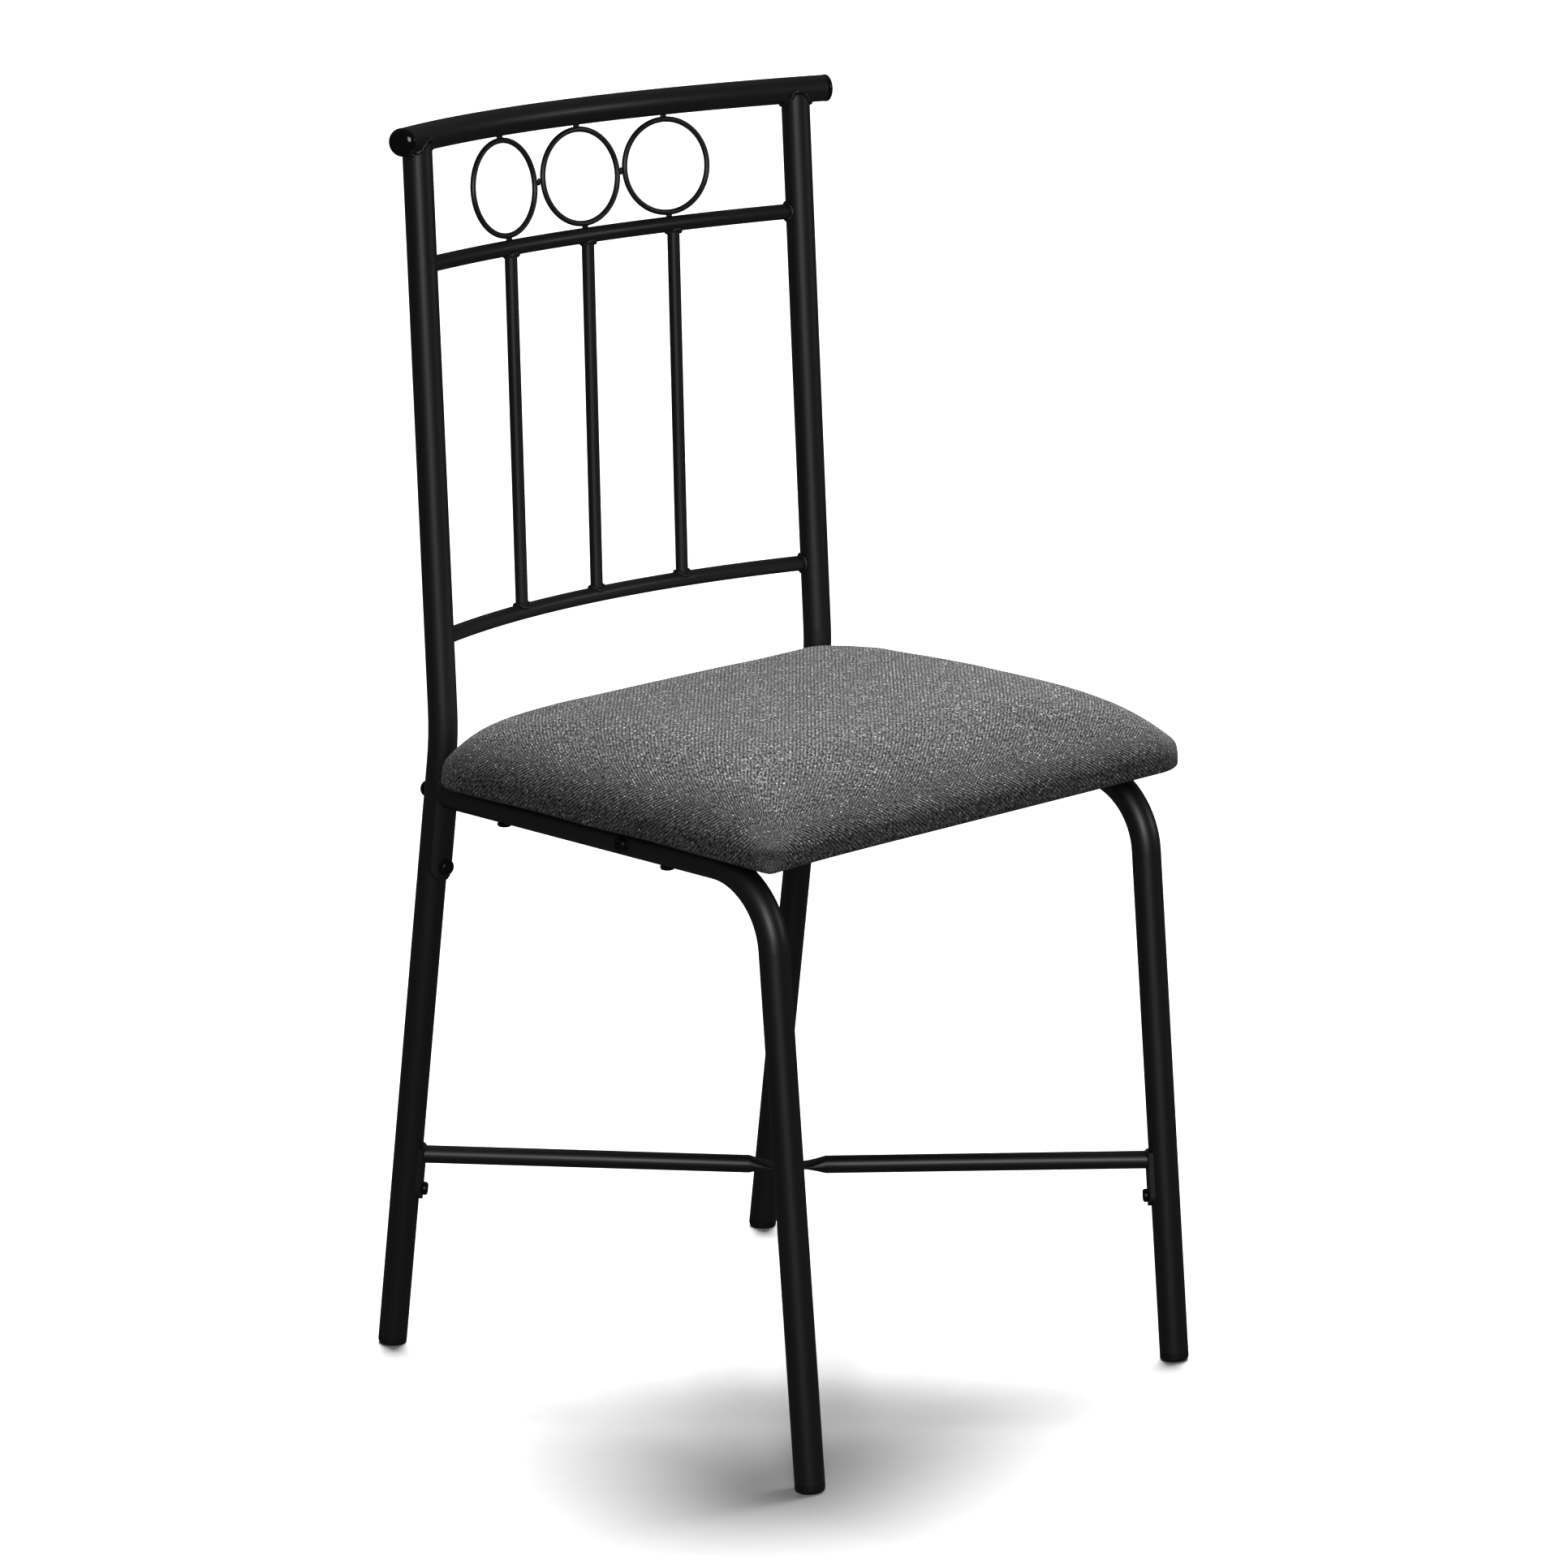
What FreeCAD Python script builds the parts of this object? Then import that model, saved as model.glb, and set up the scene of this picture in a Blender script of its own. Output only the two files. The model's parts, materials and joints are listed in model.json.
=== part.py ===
import FreeCAD, Part
import math
import os
import Sketcher

# Knock-down dining chair: two bent rear posts with a bowed back, two bent side frames,
# a crossed pair of stretchers and an upholstered seat. Millimetres, +Z up, front towards -Y,
# origin on the floor under the middle of the chair.

V = FreeCAD.Vector
X, Y, Z = V(1, 0, 0), V(0, 1, 0), V(0, 0, 1)

# alias, value or formula, meaning
SIZES = [
    ("tube_d", 20.6, "legs, posts and side rails, outside diameter"),
    ("tube_wall", 1.2, "wall of those tubes"),
    ("foot_x", 186.0, "rear foot, half spacing of the centres"),
    ("top_x", "=foot_x - 5.6", "post centres at the top rail, half spacing"),
    ("foot_y", 209.3, "front and rear feet, distance from the middle"),
    ("knee_y", "=foot_y - 61.7", "rear post bend, distance behind the middle"),
    ("knee_z", 456.0, "rear post bend, height"),
    ("top_y", "=knee_y + 21.7", "post centre at the top rail, behind the middle"),
    ("top_z", 866.0, "top rail axis at the posts, height"),
    ("post_bend_r", 200.0, "radius of the post bend"),
    ("top_rail_d", 19.05, "top rail, outside diameter"),
    ("top_rail_bow", 37.0, "how far the top rail's middle lies behind its ends"),
    ("top_rail_over", 22.5, "top rail past each post centre"),
    ("back_rail_d", 11.1, "middle and lower back rails, outside diameter"),
    ("mid_rail_z", "=top_z - 86.4", "middle back rail at the posts, height"),
    ("mid_rail_bow", 30.0, "bow of the middle rail"),
    ("low_rail_z", "=knee_z + 67", "lower back rail at the posts, height"),
    ("low_rail_bow", 37.0, "bow of the lower rail"),
    ("spindle_d", 9.0, "spindle diameter"),
    ("spindle_gap", 78.0, "spacing of the spindles"),
    ("ring_w", 75.2, "ring, outside width"),
    ("ring_gap", 0.9, "gap that a tack weld bridges above and below a ring"),
    ("ring_pitch", "=ring_w + 2.4", "spacing of the rings"),
    ("ring_shift", -1.4, "the row of rings sits this far to one side"),
    ("ring_turn", 2.4, "how far the first ring is welded out of line, degrees"),
    ("cap_d", 19.5, "top rail cap, outside diameter"),
    ("cap_dome", 4.4, "length of a cap's dome"),
    ("wire_d", 4.1, "ring wire diameter"),
    ("frame_x", "=foot_x - 3", "side frames, half spacing of the tube centres"),
    ("rail_z", "=knee_z - 40.8", "side rail axis, height"),
    ("leg_top_y", "=foot_y - 38.6", "where leg and side rail axes would meet, in front"),
    ("frame_bend_r", 54.0, "radius of the bend between leg and side rail"),
    ("saddle_t", 3.0, "saddle tab thickness"),
    ("saddle_w", 20.0, "saddle tab width"),
    ("saddle_z", "=rail_z - 51.2", "height of the lower frame bolt"),
    ("bolt_d", 6.0, "frame and crossbar bolts"),
    ("cross_y", -41.0, "crossbar, along the seat"),
    ("cross_d", 15.9, "crossbar, outside diameter"),
    ("stretcher_d", 12.7, "stretcher tubes, outside diameter"),
    ("stretcher_z", 144.9, "stretcher ends, height of the tube axis"),
    ("stretcher_dip", 6.3, "how far the lower stretcher's middle hangs below its ends"),
    ("flat_t", 2.6, "flattened tube, both walls together"),
    ("tab_w", 15.0, "width of a stretcher's end tab"),
    ("screw_z", "=stretcher_z - 25.4", "stretcher screws, height"),
    ("screw_d", 5.0, "seat and stretcher screws"),
    ("glide_h", 6.0, "visible height of a foot glide"),
    ("seat_w", "=2 * foot_x + 43", "cushion width"),
    ("seat_front", "=foot_y - 12.8", "cushion front edge, before the middle"),
    ("seat_rear", "=knee_y - 12.6", "cushion rear edge, behind the middle"),
    ("seat_h", 50.0, "cushion thickness"),
    ("seat_corner_r", 30.0, "front cushion corners in plan"),
    ("seat_rear_r", 16.0, "rear cushion corners in plan"),
    ("seat_edge_r", 27.0, "cushion top edge"),
    ("board_t", 12.0, "plywood seat board"),
    ("board_inset", 4.0, "board edge inside the cushion's outline"),
    ("cloth_t", 1.2, "cover cloth"),
    ("tuck", 35.0, "cloth folded under the board"),
    ("seat_screw_y", 5.8, "middle of the seat screws, behind the middle"),
    ("seat_screw_gap", 161.0, "front to rear spacing of the seat screws"),
    # derived
    ("tube_r", "=tube_d / 2", "tube radius"),
    ("bore_r", "=tube_r - tube_wall", "tube bore radius"),
    ("splay", "=atan((foot_y - knee_y) / knee_z) / 1deg", "rear leg splay, degrees"),
    ("recline", "=atan((top_y - knee_y) / (top_z - knee_z)) / 1deg", "back recline, degrees"),
    ("lean", "=atan((foot_x - top_x) / top_z) / 1deg", "inward lean of the posts, degrees"),
    ("rake", "=atan((foot_y - leg_top_y) / rail_z) / 1deg", "front leg splay, degrees"),
    ("post_turn", "=splay + recline", "angle of the post bend"),
    ("post_set", "=post_bend_r * tan(post_turn * 0.5deg)", "setback of the post bend"),
    ("post_low", "=sqrt((foot_y - knee_y) ^ 2 + knee_z ^ 2) - post_set - glide_h", "straight below"),
    ("post_high", "=sqrt((top_y - knee_y) ^ 2 + (top_z - knee_z) ^ 2) - post_set - 3", "above"),
    ("frame_turn", "=90 - rake", "angle of the frame bend"),
    ("frame_set", "=frame_bend_r * tan(frame_turn * 0.5deg)", "setback of the frame bend"),
    ("leg_len", "=sqrt((foot_y - leg_top_y) ^ 2 + rail_z ^ 2) - frame_set - glide_h", "straight leg"),
    ("rail_len", "=leg_top_y + foot_y - rail_z * tan(splay * 1deg) - frame_set", "straight rail"),
    ("seat_z", "=rail_z + tube_r", "underside of the cushion"),
]

doc = FreeCAD.newDocument("dining_chair")
sheet = doc.addObject("Spreadsheet::Sheet", "sizes")
for row, (alias, value, meaning) in enumerate(SIZES, 1):
    sheet.set(f"A{row}", alias)
    sheet.set(f"B{row}", str(value))
    sheet.set(f"C{row}", meaning)
    sheet.setAlias(f"B{row}", alias)
doc.recompute()
S = {alias: float(sheet.get(alias)) for alias, _, _ in SIZES}
NODES = []


# ---------------------------------------------------------------- helpers
def rot(axis, degrees):
    return FreeCAD.Rotation(axis, degrees)


def frame_of(z_axis, x_hint):
    """Rotation whose local Z is z_axis and whose local X lies as near x_hint as it can."""
    z_dir = V(z_axis).normalize()
    x_dir = (x_hint - z_dir * x_hint.dot(z_dir)).normalize()
    return FreeCAD.Rotation(x_dir, z_dir.cross(x_dir), z_dir, "ZXY")


def bind(obj, **links):
    for prop, expression in links.items():
        obj.setExpression(prop.replace("__", "."), expression)
    return obj


def put(obj, base, rotation=None):
    obj.Placement = FreeCAD.Placement(base, rotation or FreeCAD.Rotation())
    return obj


def node(obj, label):
    obj.Label = label
    NODES.append(obj)
    return obj


def part(kind, base=None, rotation=None, **links):
    """A Part primitive whose sizes are bound to the sheet."""
    obj = doc.addObject("Part::" + kind, kind)
    bind(obj, **{prop: str(expression) for prop, expression in links.items()})
    return put(obj, base or V(), rotation)


def rod(base, direction, radius, height):
    """Cylinder from base along direction; radius and height are sheet expressions."""
    return part("Cylinder", base, rot_to(direction), Radius=radius, Height=height)


def rot_to(direction):
    return FreeCAD.Rotation(Z, direction)


def fuse(*objs):
    if len(objs) == 1:
        return objs[0]
    obj = doc.addObject("Part::MultiFuse", "Fuse")
    obj.Shapes = list(objs)
    return obj


def cut(base, *tools):
    obj = doc.addObject("Part::Cut", "Cut")
    obj.Base = base
    obj.Tool = fuse(*tools)
    return obj


def common(first, second):
    obj = doc.addObject("Part::MultiCommon", "Common")
    obj.Shapes = [first, second]
    return obj


def group(label, objs):
    obj = doc.addObject("Part::Compound", "Group")
    obj.Links = list(objs)
    return node(obj, label)


def fillet(base, radius, test):
    """Fillet of the edges of base that pass test(edge)."""
    doc.recompute()
    obj = doc.addObject("Part::Fillet", "Fillet")
    obj.Base = base
    edges = [i for i, edge in enumerate(base.Shape.Edges, 1) if test(edge)]
    obj.Edges = [(i, radius, radius) for i in edges]
    return obj


def sketch_on(body, role, name):
    sketch = body.newObject("Sketcher::SketchObject", name)
    plane = next(f for f in body.Origin.OriginFeatures if f.Role == role)
    sketch.AttachmentSupport = [(plane, "")]
    sketch.MapMode = "FlatFace"
    return sketch


def pin(sketch, expression, *args):
    """Adds a dimension and binds it to the sheet."""
    index = sketch.addConstraint(Sketcher.Constraint(*args))
    sketch.setExpression(f"Constraints[{index}]", expression)


def annulus(sketch, outer, inner, offset=None):
    """Tube section about the sketch origin, or offset along its first axis."""
    at = V(S[offset], 0, 0) if offset in S else V(offset or 0, 0, 0)
    for radius, expression in ((outer, str(outer)), (inner, str(inner))):
        circle = sketch.addGeometry(Part.Circle(at, Z, 1 + S.get(radius, 1)), False)
        pin(sketch, expression, "Radius", circle, 1 + S.get(radius, 1))
        sketch.addConstraint(Sketcher.Constraint("PointOnObject", circle, 3, -1))
        if offset is None:
            sketch.addConstraint(Sketcher.Constraint("PointOnObject", circle, 3, -2))
        else:
            pin(sketch, str(offset), "DistanceX", circle, 3, at.x)


def bent_tube(name, first, radius, turn, second):
    """Tube that starts along local +Z at glide height, bends towards local +Y and runs on.
    The arguments are aliases in the sheet."""
    body = doc.addObject("PartDesign::Body", name)
    section = sketch_on(body, "XY_Plane", name + "_section")
    section.AttachmentOffset = FreeCAD.Placement(V(0, 0, S["glide_h"]), FreeCAD.Rotation())
    section.setExpression(".AttachmentOffset.Base.z", "sizes.glide_h")
    annulus(section, "sizes.tube_r", "sizes.bore_r")
    path = sketch_on(body, "YZ_Plane", name + "_path")
    low, r, a = S["glide_h"], S[radius], math.radians(S[turn])
    bend = low + S[first]
    end = V(r - r * math.cos(a), bend + r * math.sin(a), 0)
    far = end + V(math.sin(a), math.cos(a), 0) * S[second]
    leg = path.addGeometry(Part.LineSegment(V(0, low, 0), V(0, bend, 0)), False)
    circle = Part.Circle(V(r, bend, 0), Z, r)
    arc = path.addGeometry(Part.ArcOfCircle(circle, math.pi - a, math.pi), False)
    run = path.addGeometry(Part.LineSegment(end, far), False)
    path.addConstraint(Sketcher.Constraint("PointOnObject", leg, 1, -2))
    path.addConstraint(Sketcher.Constraint("Vertical", leg))
    path.addConstraint(Sketcher.Constraint("Tangent", leg, 2, arc, 2))
    path.addConstraint(Sketcher.Constraint("Tangent", arc, 1, run, 1))
    pin(path, "sizes.glide_h", "DistanceY", leg, 1, low)
    pin(path, "sizes." + first, "Distance", leg, S[first])
    pin(path, "sizes." + radius, "Radius", arc, r)
    pin(path, "sizes." + second, "Distance", run, S[second])
    pin(path, f"(90 - sizes.{turn}) * 1deg", "Angle", run, math.pi / 2 - a)
    pipe = body.newObject("PartDesign::AdditivePipe", name + "_tube")
    pipe.Profile = section
    pipe.Spine = (path, ["Edge1", "Edge2", "Edge3"])
    return body


# ---------------------------------------------------------------- reference geometry
SPLAY, RECLINE, LEAN, RAKE = S["splay"], S["recline"], S["lean"], S["rake"]
TAN_SPLAY = math.tan(math.radians(SPLAY))
BOW_DIR = V(0, math.cos(math.radians(RECLINE)), -math.sin(math.radians(RECLINE)))


def post_rotation(side):
    return rot(Y, -side * LEAN) * rot(X, SPLAY)


def post_point(side, z):
    """Point on a rear post's axis at height z."""
    x = side * (S["foot_x"] - z * math.tan(math.radians(LEAN)))
    if z < S["knee_z"]:
        return V(x, S["foot_y"] - z * TAN_SPLAY, z)
    rise = math.tan(math.radians(RECLINE))
    return V(x, S["knee_y"] + (z - S["knee_z"]) * rise, z)


def leg_point(side, z):
    """Point on a front leg's axis at height z."""
    return V(side * S["frame_x"], -S["foot_y"] + z * math.tan(math.radians(RAKE)), z)


def post_dir(side):
    return (post_point(side, 100) - post_point(side, 0)).normalize()


def leg_dir(side):
    return (leg_point(side, 100) - leg_point(side, 0)).normalize()


class Arc:
    """Bowed rail between the posts, in a plane square to the reclined back."""

    def __init__(self, height, bow):
        self.end = post_point(1, S[height])
        self.bow = S[bow]
        self.radius = (self.end.x ** 2 + self.bow ** 2) / (2 * self.bow)
        middle = V(0, self.end.y, self.end.z) + BOW_DIR * self.bow
        self.centre = middle - BOW_DIR * self.radius
        self.rotation = rot(X, -RECLINE)

    def point(self, x):
        return self.centre + X * x + BOW_DIR * math.sqrt(self.radius ** 2 - x ** 2)

    def tangent(self, x):
        return (X + BOW_DIR * (-x / math.sqrt(self.radius ** 2 - x ** 2))).normalize()

    def half_angle(self, past=0.0):
        return math.degrees(math.asin(self.end.x / self.radius) + past / self.radius)

    def tube(self, name, diameter, wall, past=0.0):
        """Hollow rail, revolved about the centre of its bow."""
        body = doc.addObject("PartDesign::Body", name)
        section = sketch_on(body, "XZ_Plane", name + "_section")
        outer, inner = f"sizes.{diameter} / 2", f"sizes.{diameter} / 2 - {wall}"
        annulus(section, outer, inner, self.radius)
        turn = body.newObject("PartDesign::Revolution", name + "_bow")
        turn.Profile = section
        axis = next(f for f in body.Origin.OriginFeatures if f.Role == "Z_Axis")
        turn.ReferenceAxis = (axis, [""])
        turn.Angle = 2 * self.half_angle(past)
        turn.Midplane = True
        return put(body, self.centre, self.rotation * rot(Z, 90))

    def tool(self, diameter, past=60.0):
        """The rail's outside as a solid, to shape what meets it."""
        angle = self.half_angle(past)
        torus = part("Torus", self.centre, self.rotation * rot(Z, 90 - angle),
                     Radius2=f"sizes.{diameter} / 2")
        torus.Radius1 = self.radius
        torus.Angle3 = 2 * angle
        return torus


top_arc = Arc("top_z", "top_rail_bow")
mid_arc = Arc("mid_rail_z", "mid_rail_bow")
low_arc = Arc("low_rail_z", "low_rail_bow")


# ---------------------------------------------------------------- fasteners
def screw(head, direction, shank_d, length, head_d, head_h, recess):
    """Screw whose head bears at point head and whose shank runs along direction."""
    way = V(direction).normalize()
    turned = frame_of(way * -1, X if abs(way.x) < 0.9 else Y)
    shank = part("Cylinder", head, rot_to(way), Radius=f"sizes.{shank_d} / 2")
    shank.Height = length
    cap = part("Cylinder", head, turned)
    cap.Radius = head_d / 2
    cap.Height = head_h
    rim = fillet(cap, head_h * 0.62, lambda e: (e.CenterOfMass - head).dot(way) < -head_h * 0.9)
    tools = []
    if recess == "hex":
        hole = part("Prism", head - way * (head_h * 0.35), turned)
        hole.Polygon = 6
        hole.Circumradius = head_d * 0.24
        hole.Height = head_h
        tools.append(hole)
    else:
        for long_x in (True, False):
            size = V(head_d * 0.52, head_d * 0.13, head_h)
            size = size if long_x else V(size.y, size.x, size.z)
            slot = part("Box", V(), turned)
            slot.Length, slot.Width, slot.Height = size.x, size.y, size.z
            corner = turned.multVec(V(-size.x / 2, -size.y / 2, head_h * 0.4))
            tools.append(put(slot, head + corner, turned))
    return cut(fuse(shank, rim), *tools)


def sleeve(base, direction, outer, bore, length):
    """Threaded insert: a plain tube of radius outer with a bore."""
    solid = part("Cylinder", base, rot_to(direction))
    solid.Radius = outer
    solid.Height = length
    hole = part("Cylinder", base, rot_to(direction), Radius=f"sizes.{bore} / 2")
    hole.Height = length
    return cut(solid, hole)


def plate(top, outward, along, width, length):
    """Block that runs length along a tube from point top, width across and 15 mm outwards."""
    turned = frame_of(outward, along)
    box = part("Box", V(), None, Width="sizes." + width)
    box.Length = length
    box.Height = 15
    return put(box, top - turned.multVec(Y) * (S[width] / 2), turned)


def drill(base, direction, radius, length):
    tool = part("Cylinder", base, rot_to(direction))
    tool.Radius = radius
    tool.Height = length
    return tool


# ---------------------------------------------------------------- places of the fasteners
def saddle_bolt(side):
    """Point on the post's axis and forward direction of the lower frame bolt."""
    up = post_dir(side)
    forward = (Y * -1 + up * up.y).normalize()
    return post_point(side, S["saddle_z"]), forward


def stretcher_end(front, side):
    """Leg axis point, leg direction, and inward direction square to the leg."""
    z = S["stretcher_z"]
    point = leg_point(side, z) if front else post_point(side, z)
    up = leg_dir(side) if front else post_dir(side)
    inward = V(0, CROSS_Y, z) - point
    return point, up, (inward - up * inward.dot(up)).normalize()


_front, _rear = leg_point(-1, S["stretcher_z"]), post_point(1, S["stretcher_z"])
CROSS_Y = _front.y + (_rear.y - _front.y) * (-_front.x) / (_rear.x - _front.x)
SCREW_DOWN = S["stretcher_z"] - S["screw_z"]
ROOT, BORE, SADDLE = S["tube_r"], S["bore_r"], S["tube_r"] + S["saddle_t"]
M6, M5 = S["bolt_d"] / 2, S["screw_d"] / 2


# ---------------------------------------------------------------- rear posts
for side, name in ((-1, "left"), (1, "right")):
    tube = bent_tube(f"post_{name}", "post_low", "post_bend_r", "post_turn", "post_high")
    put(tube, V(side * S["foot_x"], S["foot_y"], 0), post_rotation(side))
    bind(tube, Placement__Base__y="sizes.foot_y")
    bolt_at, forward = saddle_bolt(side)
    at_rail = post_point(side, S["rail_z"])
    at_rail.x = side * S["frame_x"]
    ends, up, inward = stretcher_end(False, side)
    screw_at = ends - up * SCREW_DOWN
    tools = [
        top_arc.tool("top_rail_d"),
        drill(bolt_at, forward, 4.5, 20),
        drill(at_rail - Y * 25, Y, M6 + 0.2, 50),
        drill(screw_at, inward, 3.7, 20),
    ]
    node(cut(tube, *tools), f"rear_post_{name}")


def post_tool(side):
    """Outside of a reclined upper post."""
    base = post_point(side, S["knee_z"])
    return rod(base, post_point(side, S["top_z"]) - base, "sizes.tube_r", "sizes.top_z - sizes.knee_z")


# ---------------------------------------------------------------- back
top = node(top_arc.tube("top_rail_body", "top_rail_d", 1.2, S["top_rail_over"]), "top_rail")
mid = mid_arc.tube("middle_rail_body", "back_rail_d", 1.0)
node(cut(mid, post_tool(-1), post_tool(1)), "middle_back_rail")
low = low_arc.tube("lower_rail_body", "back_rail_d", 1.0)
node(cut(low, post_tool(-1), post_tool(1)), "lower_back_rail")

for side, name in ((-1, "left"), (1, "right")):
    along = math.radians(top_arc.half_angle(S["top_rail_over"]))
    end = top_arc.point(side * top_arc.radius * math.sin(along))
    out = top_arc.tangent(end.x) * side
    skirt = rod(end, out, "sizes.cap_d / 2", 1)
    plug = rod(end, out * -1, "sizes.top_rail_d / 2 - 1.35", 12)
    dome = part("Ellipsoid", end + out, rot_to(out), Radius1="sizes.cap_dome",
                Radius2="sizes.cap_d / 2", Radius3="sizes.cap_d / 2")
    dome.Angle1, dome.Angle2 = 0, 90
    node(fuse(skirt, plug, dome), f"top_rail_cap_{name}")

for step, name in ((-1, "left"), (0, "centre"), (1, "right")):
    x = step * S["spindle_gap"]
    base, tip = low_arc.point(x), mid_arc.point(x)
    spindle = rod(base, tip - base, "sizes.spindle_d / 2", (tip - base).Length)
    shaped = cut(spindle, low_arc.tool("back_rail_d"), mid_arc.tool("back_rail_d"))
    node(shaped, f"spindle_{name}")

for step, name in ((-1, "left"), (0, "centre"), (1, "right")):
    x = step * S["ring_pitch"] + S["ring_shift"]
    high, under = top_arc.point(x), mid_arc.point(x)
    rise = (high - under).normalize()
    inner_top = high - rise * (S["top_rail_d"] / 2 + S["ring_gap"])
    inner_low = under + rise * (S["back_rail_d"] / 2 + S["ring_gap"])
    middle = (inner_top + inner_low) / 2
    across = (top_arc.tangent(x) + mid_arc.tangent(x)).normalize()
    if step < 0:
        across = rot(rise, S["ring_turn"]).multVec(across)
    wide = (S["ring_w"] - S["wire_d"]) / 2
    tall = ((inner_top - inner_low).Length - S["wire_d"]) / 2
    turned = frame_of(across.cross(rise), across if wide > tall else rise)
    loop = part("Ellipse", middle, turned)
    loop.MajorRadius = max(wide, tall)
    loop.MinorRadius = min(wide, tall)
    start = middle + turned.multVec(X * loop.MajorRadius.Value)
    wire = part("Circle", start, frame_of(turned.multVec(Y), turned.multVec(X)),
                Radius="sizes.wire_d / 2")
    ring = doc.addObject("Part::Sweep", "Ring")
    ring.Sections = [wire]
    ring.Spine = (loop, ["Edge1"])
    ring.Solid = True
    node(ring, f"ring_{name}")

# ---------------------------------------------------------------- side frames
cross_half = S["frame_x"] - ROOT
for side, name in ((-1, "left"), (1, "right")):
    tube = bent_tube(f"frame_{name}", "leg_len", "frame_bend_r", "frame_turn", "rail_len")
    put(tube, V(side * S["frame_x"], -S["foot_y"], 0), rot(X, -RAKE))
    bind(tube, Placement__Base__y="-sizes.foot_y")
    axis = post_point(side, S["rail_z"] - 70)
    saddle_tool = rod(axis, post_dir(side), "sizes.tube_r + sizes.saddle_t", 140)
    ends, up, inward = stretcher_end(True, side)
    rail = V(side * S["frame_x"], 0, S["rail_z"])
    tools = [
        saddle_tool,
        drill(ends - up * SCREW_DOWN, inward, 3.7, 20),
        drill(rail + V(-25, S["cross_y"], 0), X, M6 + 0.2, 50),
    ]
    for step in (-0.5, 0.5):
        y = S["seat_screw_y"] + step * S["seat_screw_gap"]
        tools.append(drill(rail + V(0, y, -25), Z, M5 + 0.2, 50))
    node(cut(tube, *tools), f"side_frame_{name}")

for side, name in ((-1, "left"), (1, "right")):
    bolt_at, forward = saddle_bolt(side)
    up = post_dir(side)
    rise = S["rail_z"] + ROOT - S["saddle_z"]
    shell_base = bolt_at - up * 14
    shell = cut(rod(shell_base, up, "sizes.tube_r + sizes.saddle_t", 14 + rise),
                rod(shell_base, up, "sizes.tube_r", 14 + rise))
    strip = plate(bolt_at + up * (rise + 1), forward, up * -1, "saddle_w", rise + 1)
    round_end = rod(bolt_at, forward, "sizes.saddle_w / 2", "sizes.tube_r + sizes.saddle_t + 1")
    at_rail = post_point(side, S["rail_z"])
    at_rail.x = side * S["frame_x"]
    holes = [drill(bolt_at, forward, M6 + 0.2, 20), drill(at_rail, Y * -1, M6 + 0.2, 25)]
    node(cut(common(shell, fuse(strip, round_end)), *holes), f"frame_saddle_{name}")

lower, upper, rail_plugs, inserts = [], [], [], []
for side in (-1, 1):
    bolt_at, forward = saddle_bolt(side)
    head = bolt_at + forward * SADDLE
    lower.append(screw(head, forward * -1, "bolt_d", 18, 11.5, 3.6, "hex"))
    inserts.append(sleeve(bolt_at + forward * (ROOT - 15.2), forward, 4.4, "bolt_d", 14))
    at_rail = post_point(side, S["rail_z"])
    at_rail.x = side * S["frame_x"]
    reach = ROOT / math.cos(math.radians(SPLAY))
    upper.append(screw(at_rail + Y * (reach + 0.9), Y * -1, "bolt_d", 42, 11.5, 3.6, "hex"))
    plug = sleeve(at_rail - Y * (SADDLE + 18.5), Y, BORE, "bolt_d", 14)
    rail_plugs.append(plug)
group("frame_bolts_lower", lower)
group("frame_bolts_upper", upper)
group("rail_end_plugs", rail_plugs)
group("post_inserts", inserts)

# ---------------------------------------------------------------- crossbar
start = V(-S["frame_x"], S["cross_y"], S["rail_z"])
outer = rod(start, X, "sizes.cross_d / 2", "sizes.frame_x * 2")
bore = rod(start, X, "sizes.cross_d / 2 - 1.2", "sizes.frame_x * 2")
sides = [rod(V(s * S["frame_x"], S["cross_y"] - 30, S["rail_z"]), Y, "sizes.tube_r", 60) for s in (-1, 1)]
node(cut(outer, bore, *sides), "seat_crossbar")
plugs, bolts = [], []
for side in (-1, 1):
    mouth = V(side * (cross_half - 1.5), S["cross_y"], S["rail_z"])
    plugs.append(sleeve(mouth, X * -side, S["cross_d"] / 2 - 1.2, "bolt_d", 15))
    head = V(side * (S["frame_x"] + ROOT), S["cross_y"], S["rail_z"])
    bolts.append(screw(head, X * -side, "bolt_d", 34, 10.5, 3.4, "hex"))
group("crossbar_plugs", plugs)
group("crossbar_bolts", bolts)


# ---------------------------------------------------------------- stretchers
FLAT, TAPER, TUBE = 11.0, 27.0, S["stretcher_d"] / 2


def flat_section(at, way, radius_major):
    """Elliptical section of a flattened tube, lying level."""
    return part("Ellipse", at, frame_of(way, way.cross(Z)), MinorRadius="sizes.flat_t / 2",
                MajorRadius=radius_major)


def loft(*sections):
    obj = doc.addObject("Part::Loft", "Loft")
    obj.Sections = list(sections)
    obj.Solid = True
    obj.Ruled = True
    return obj


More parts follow.
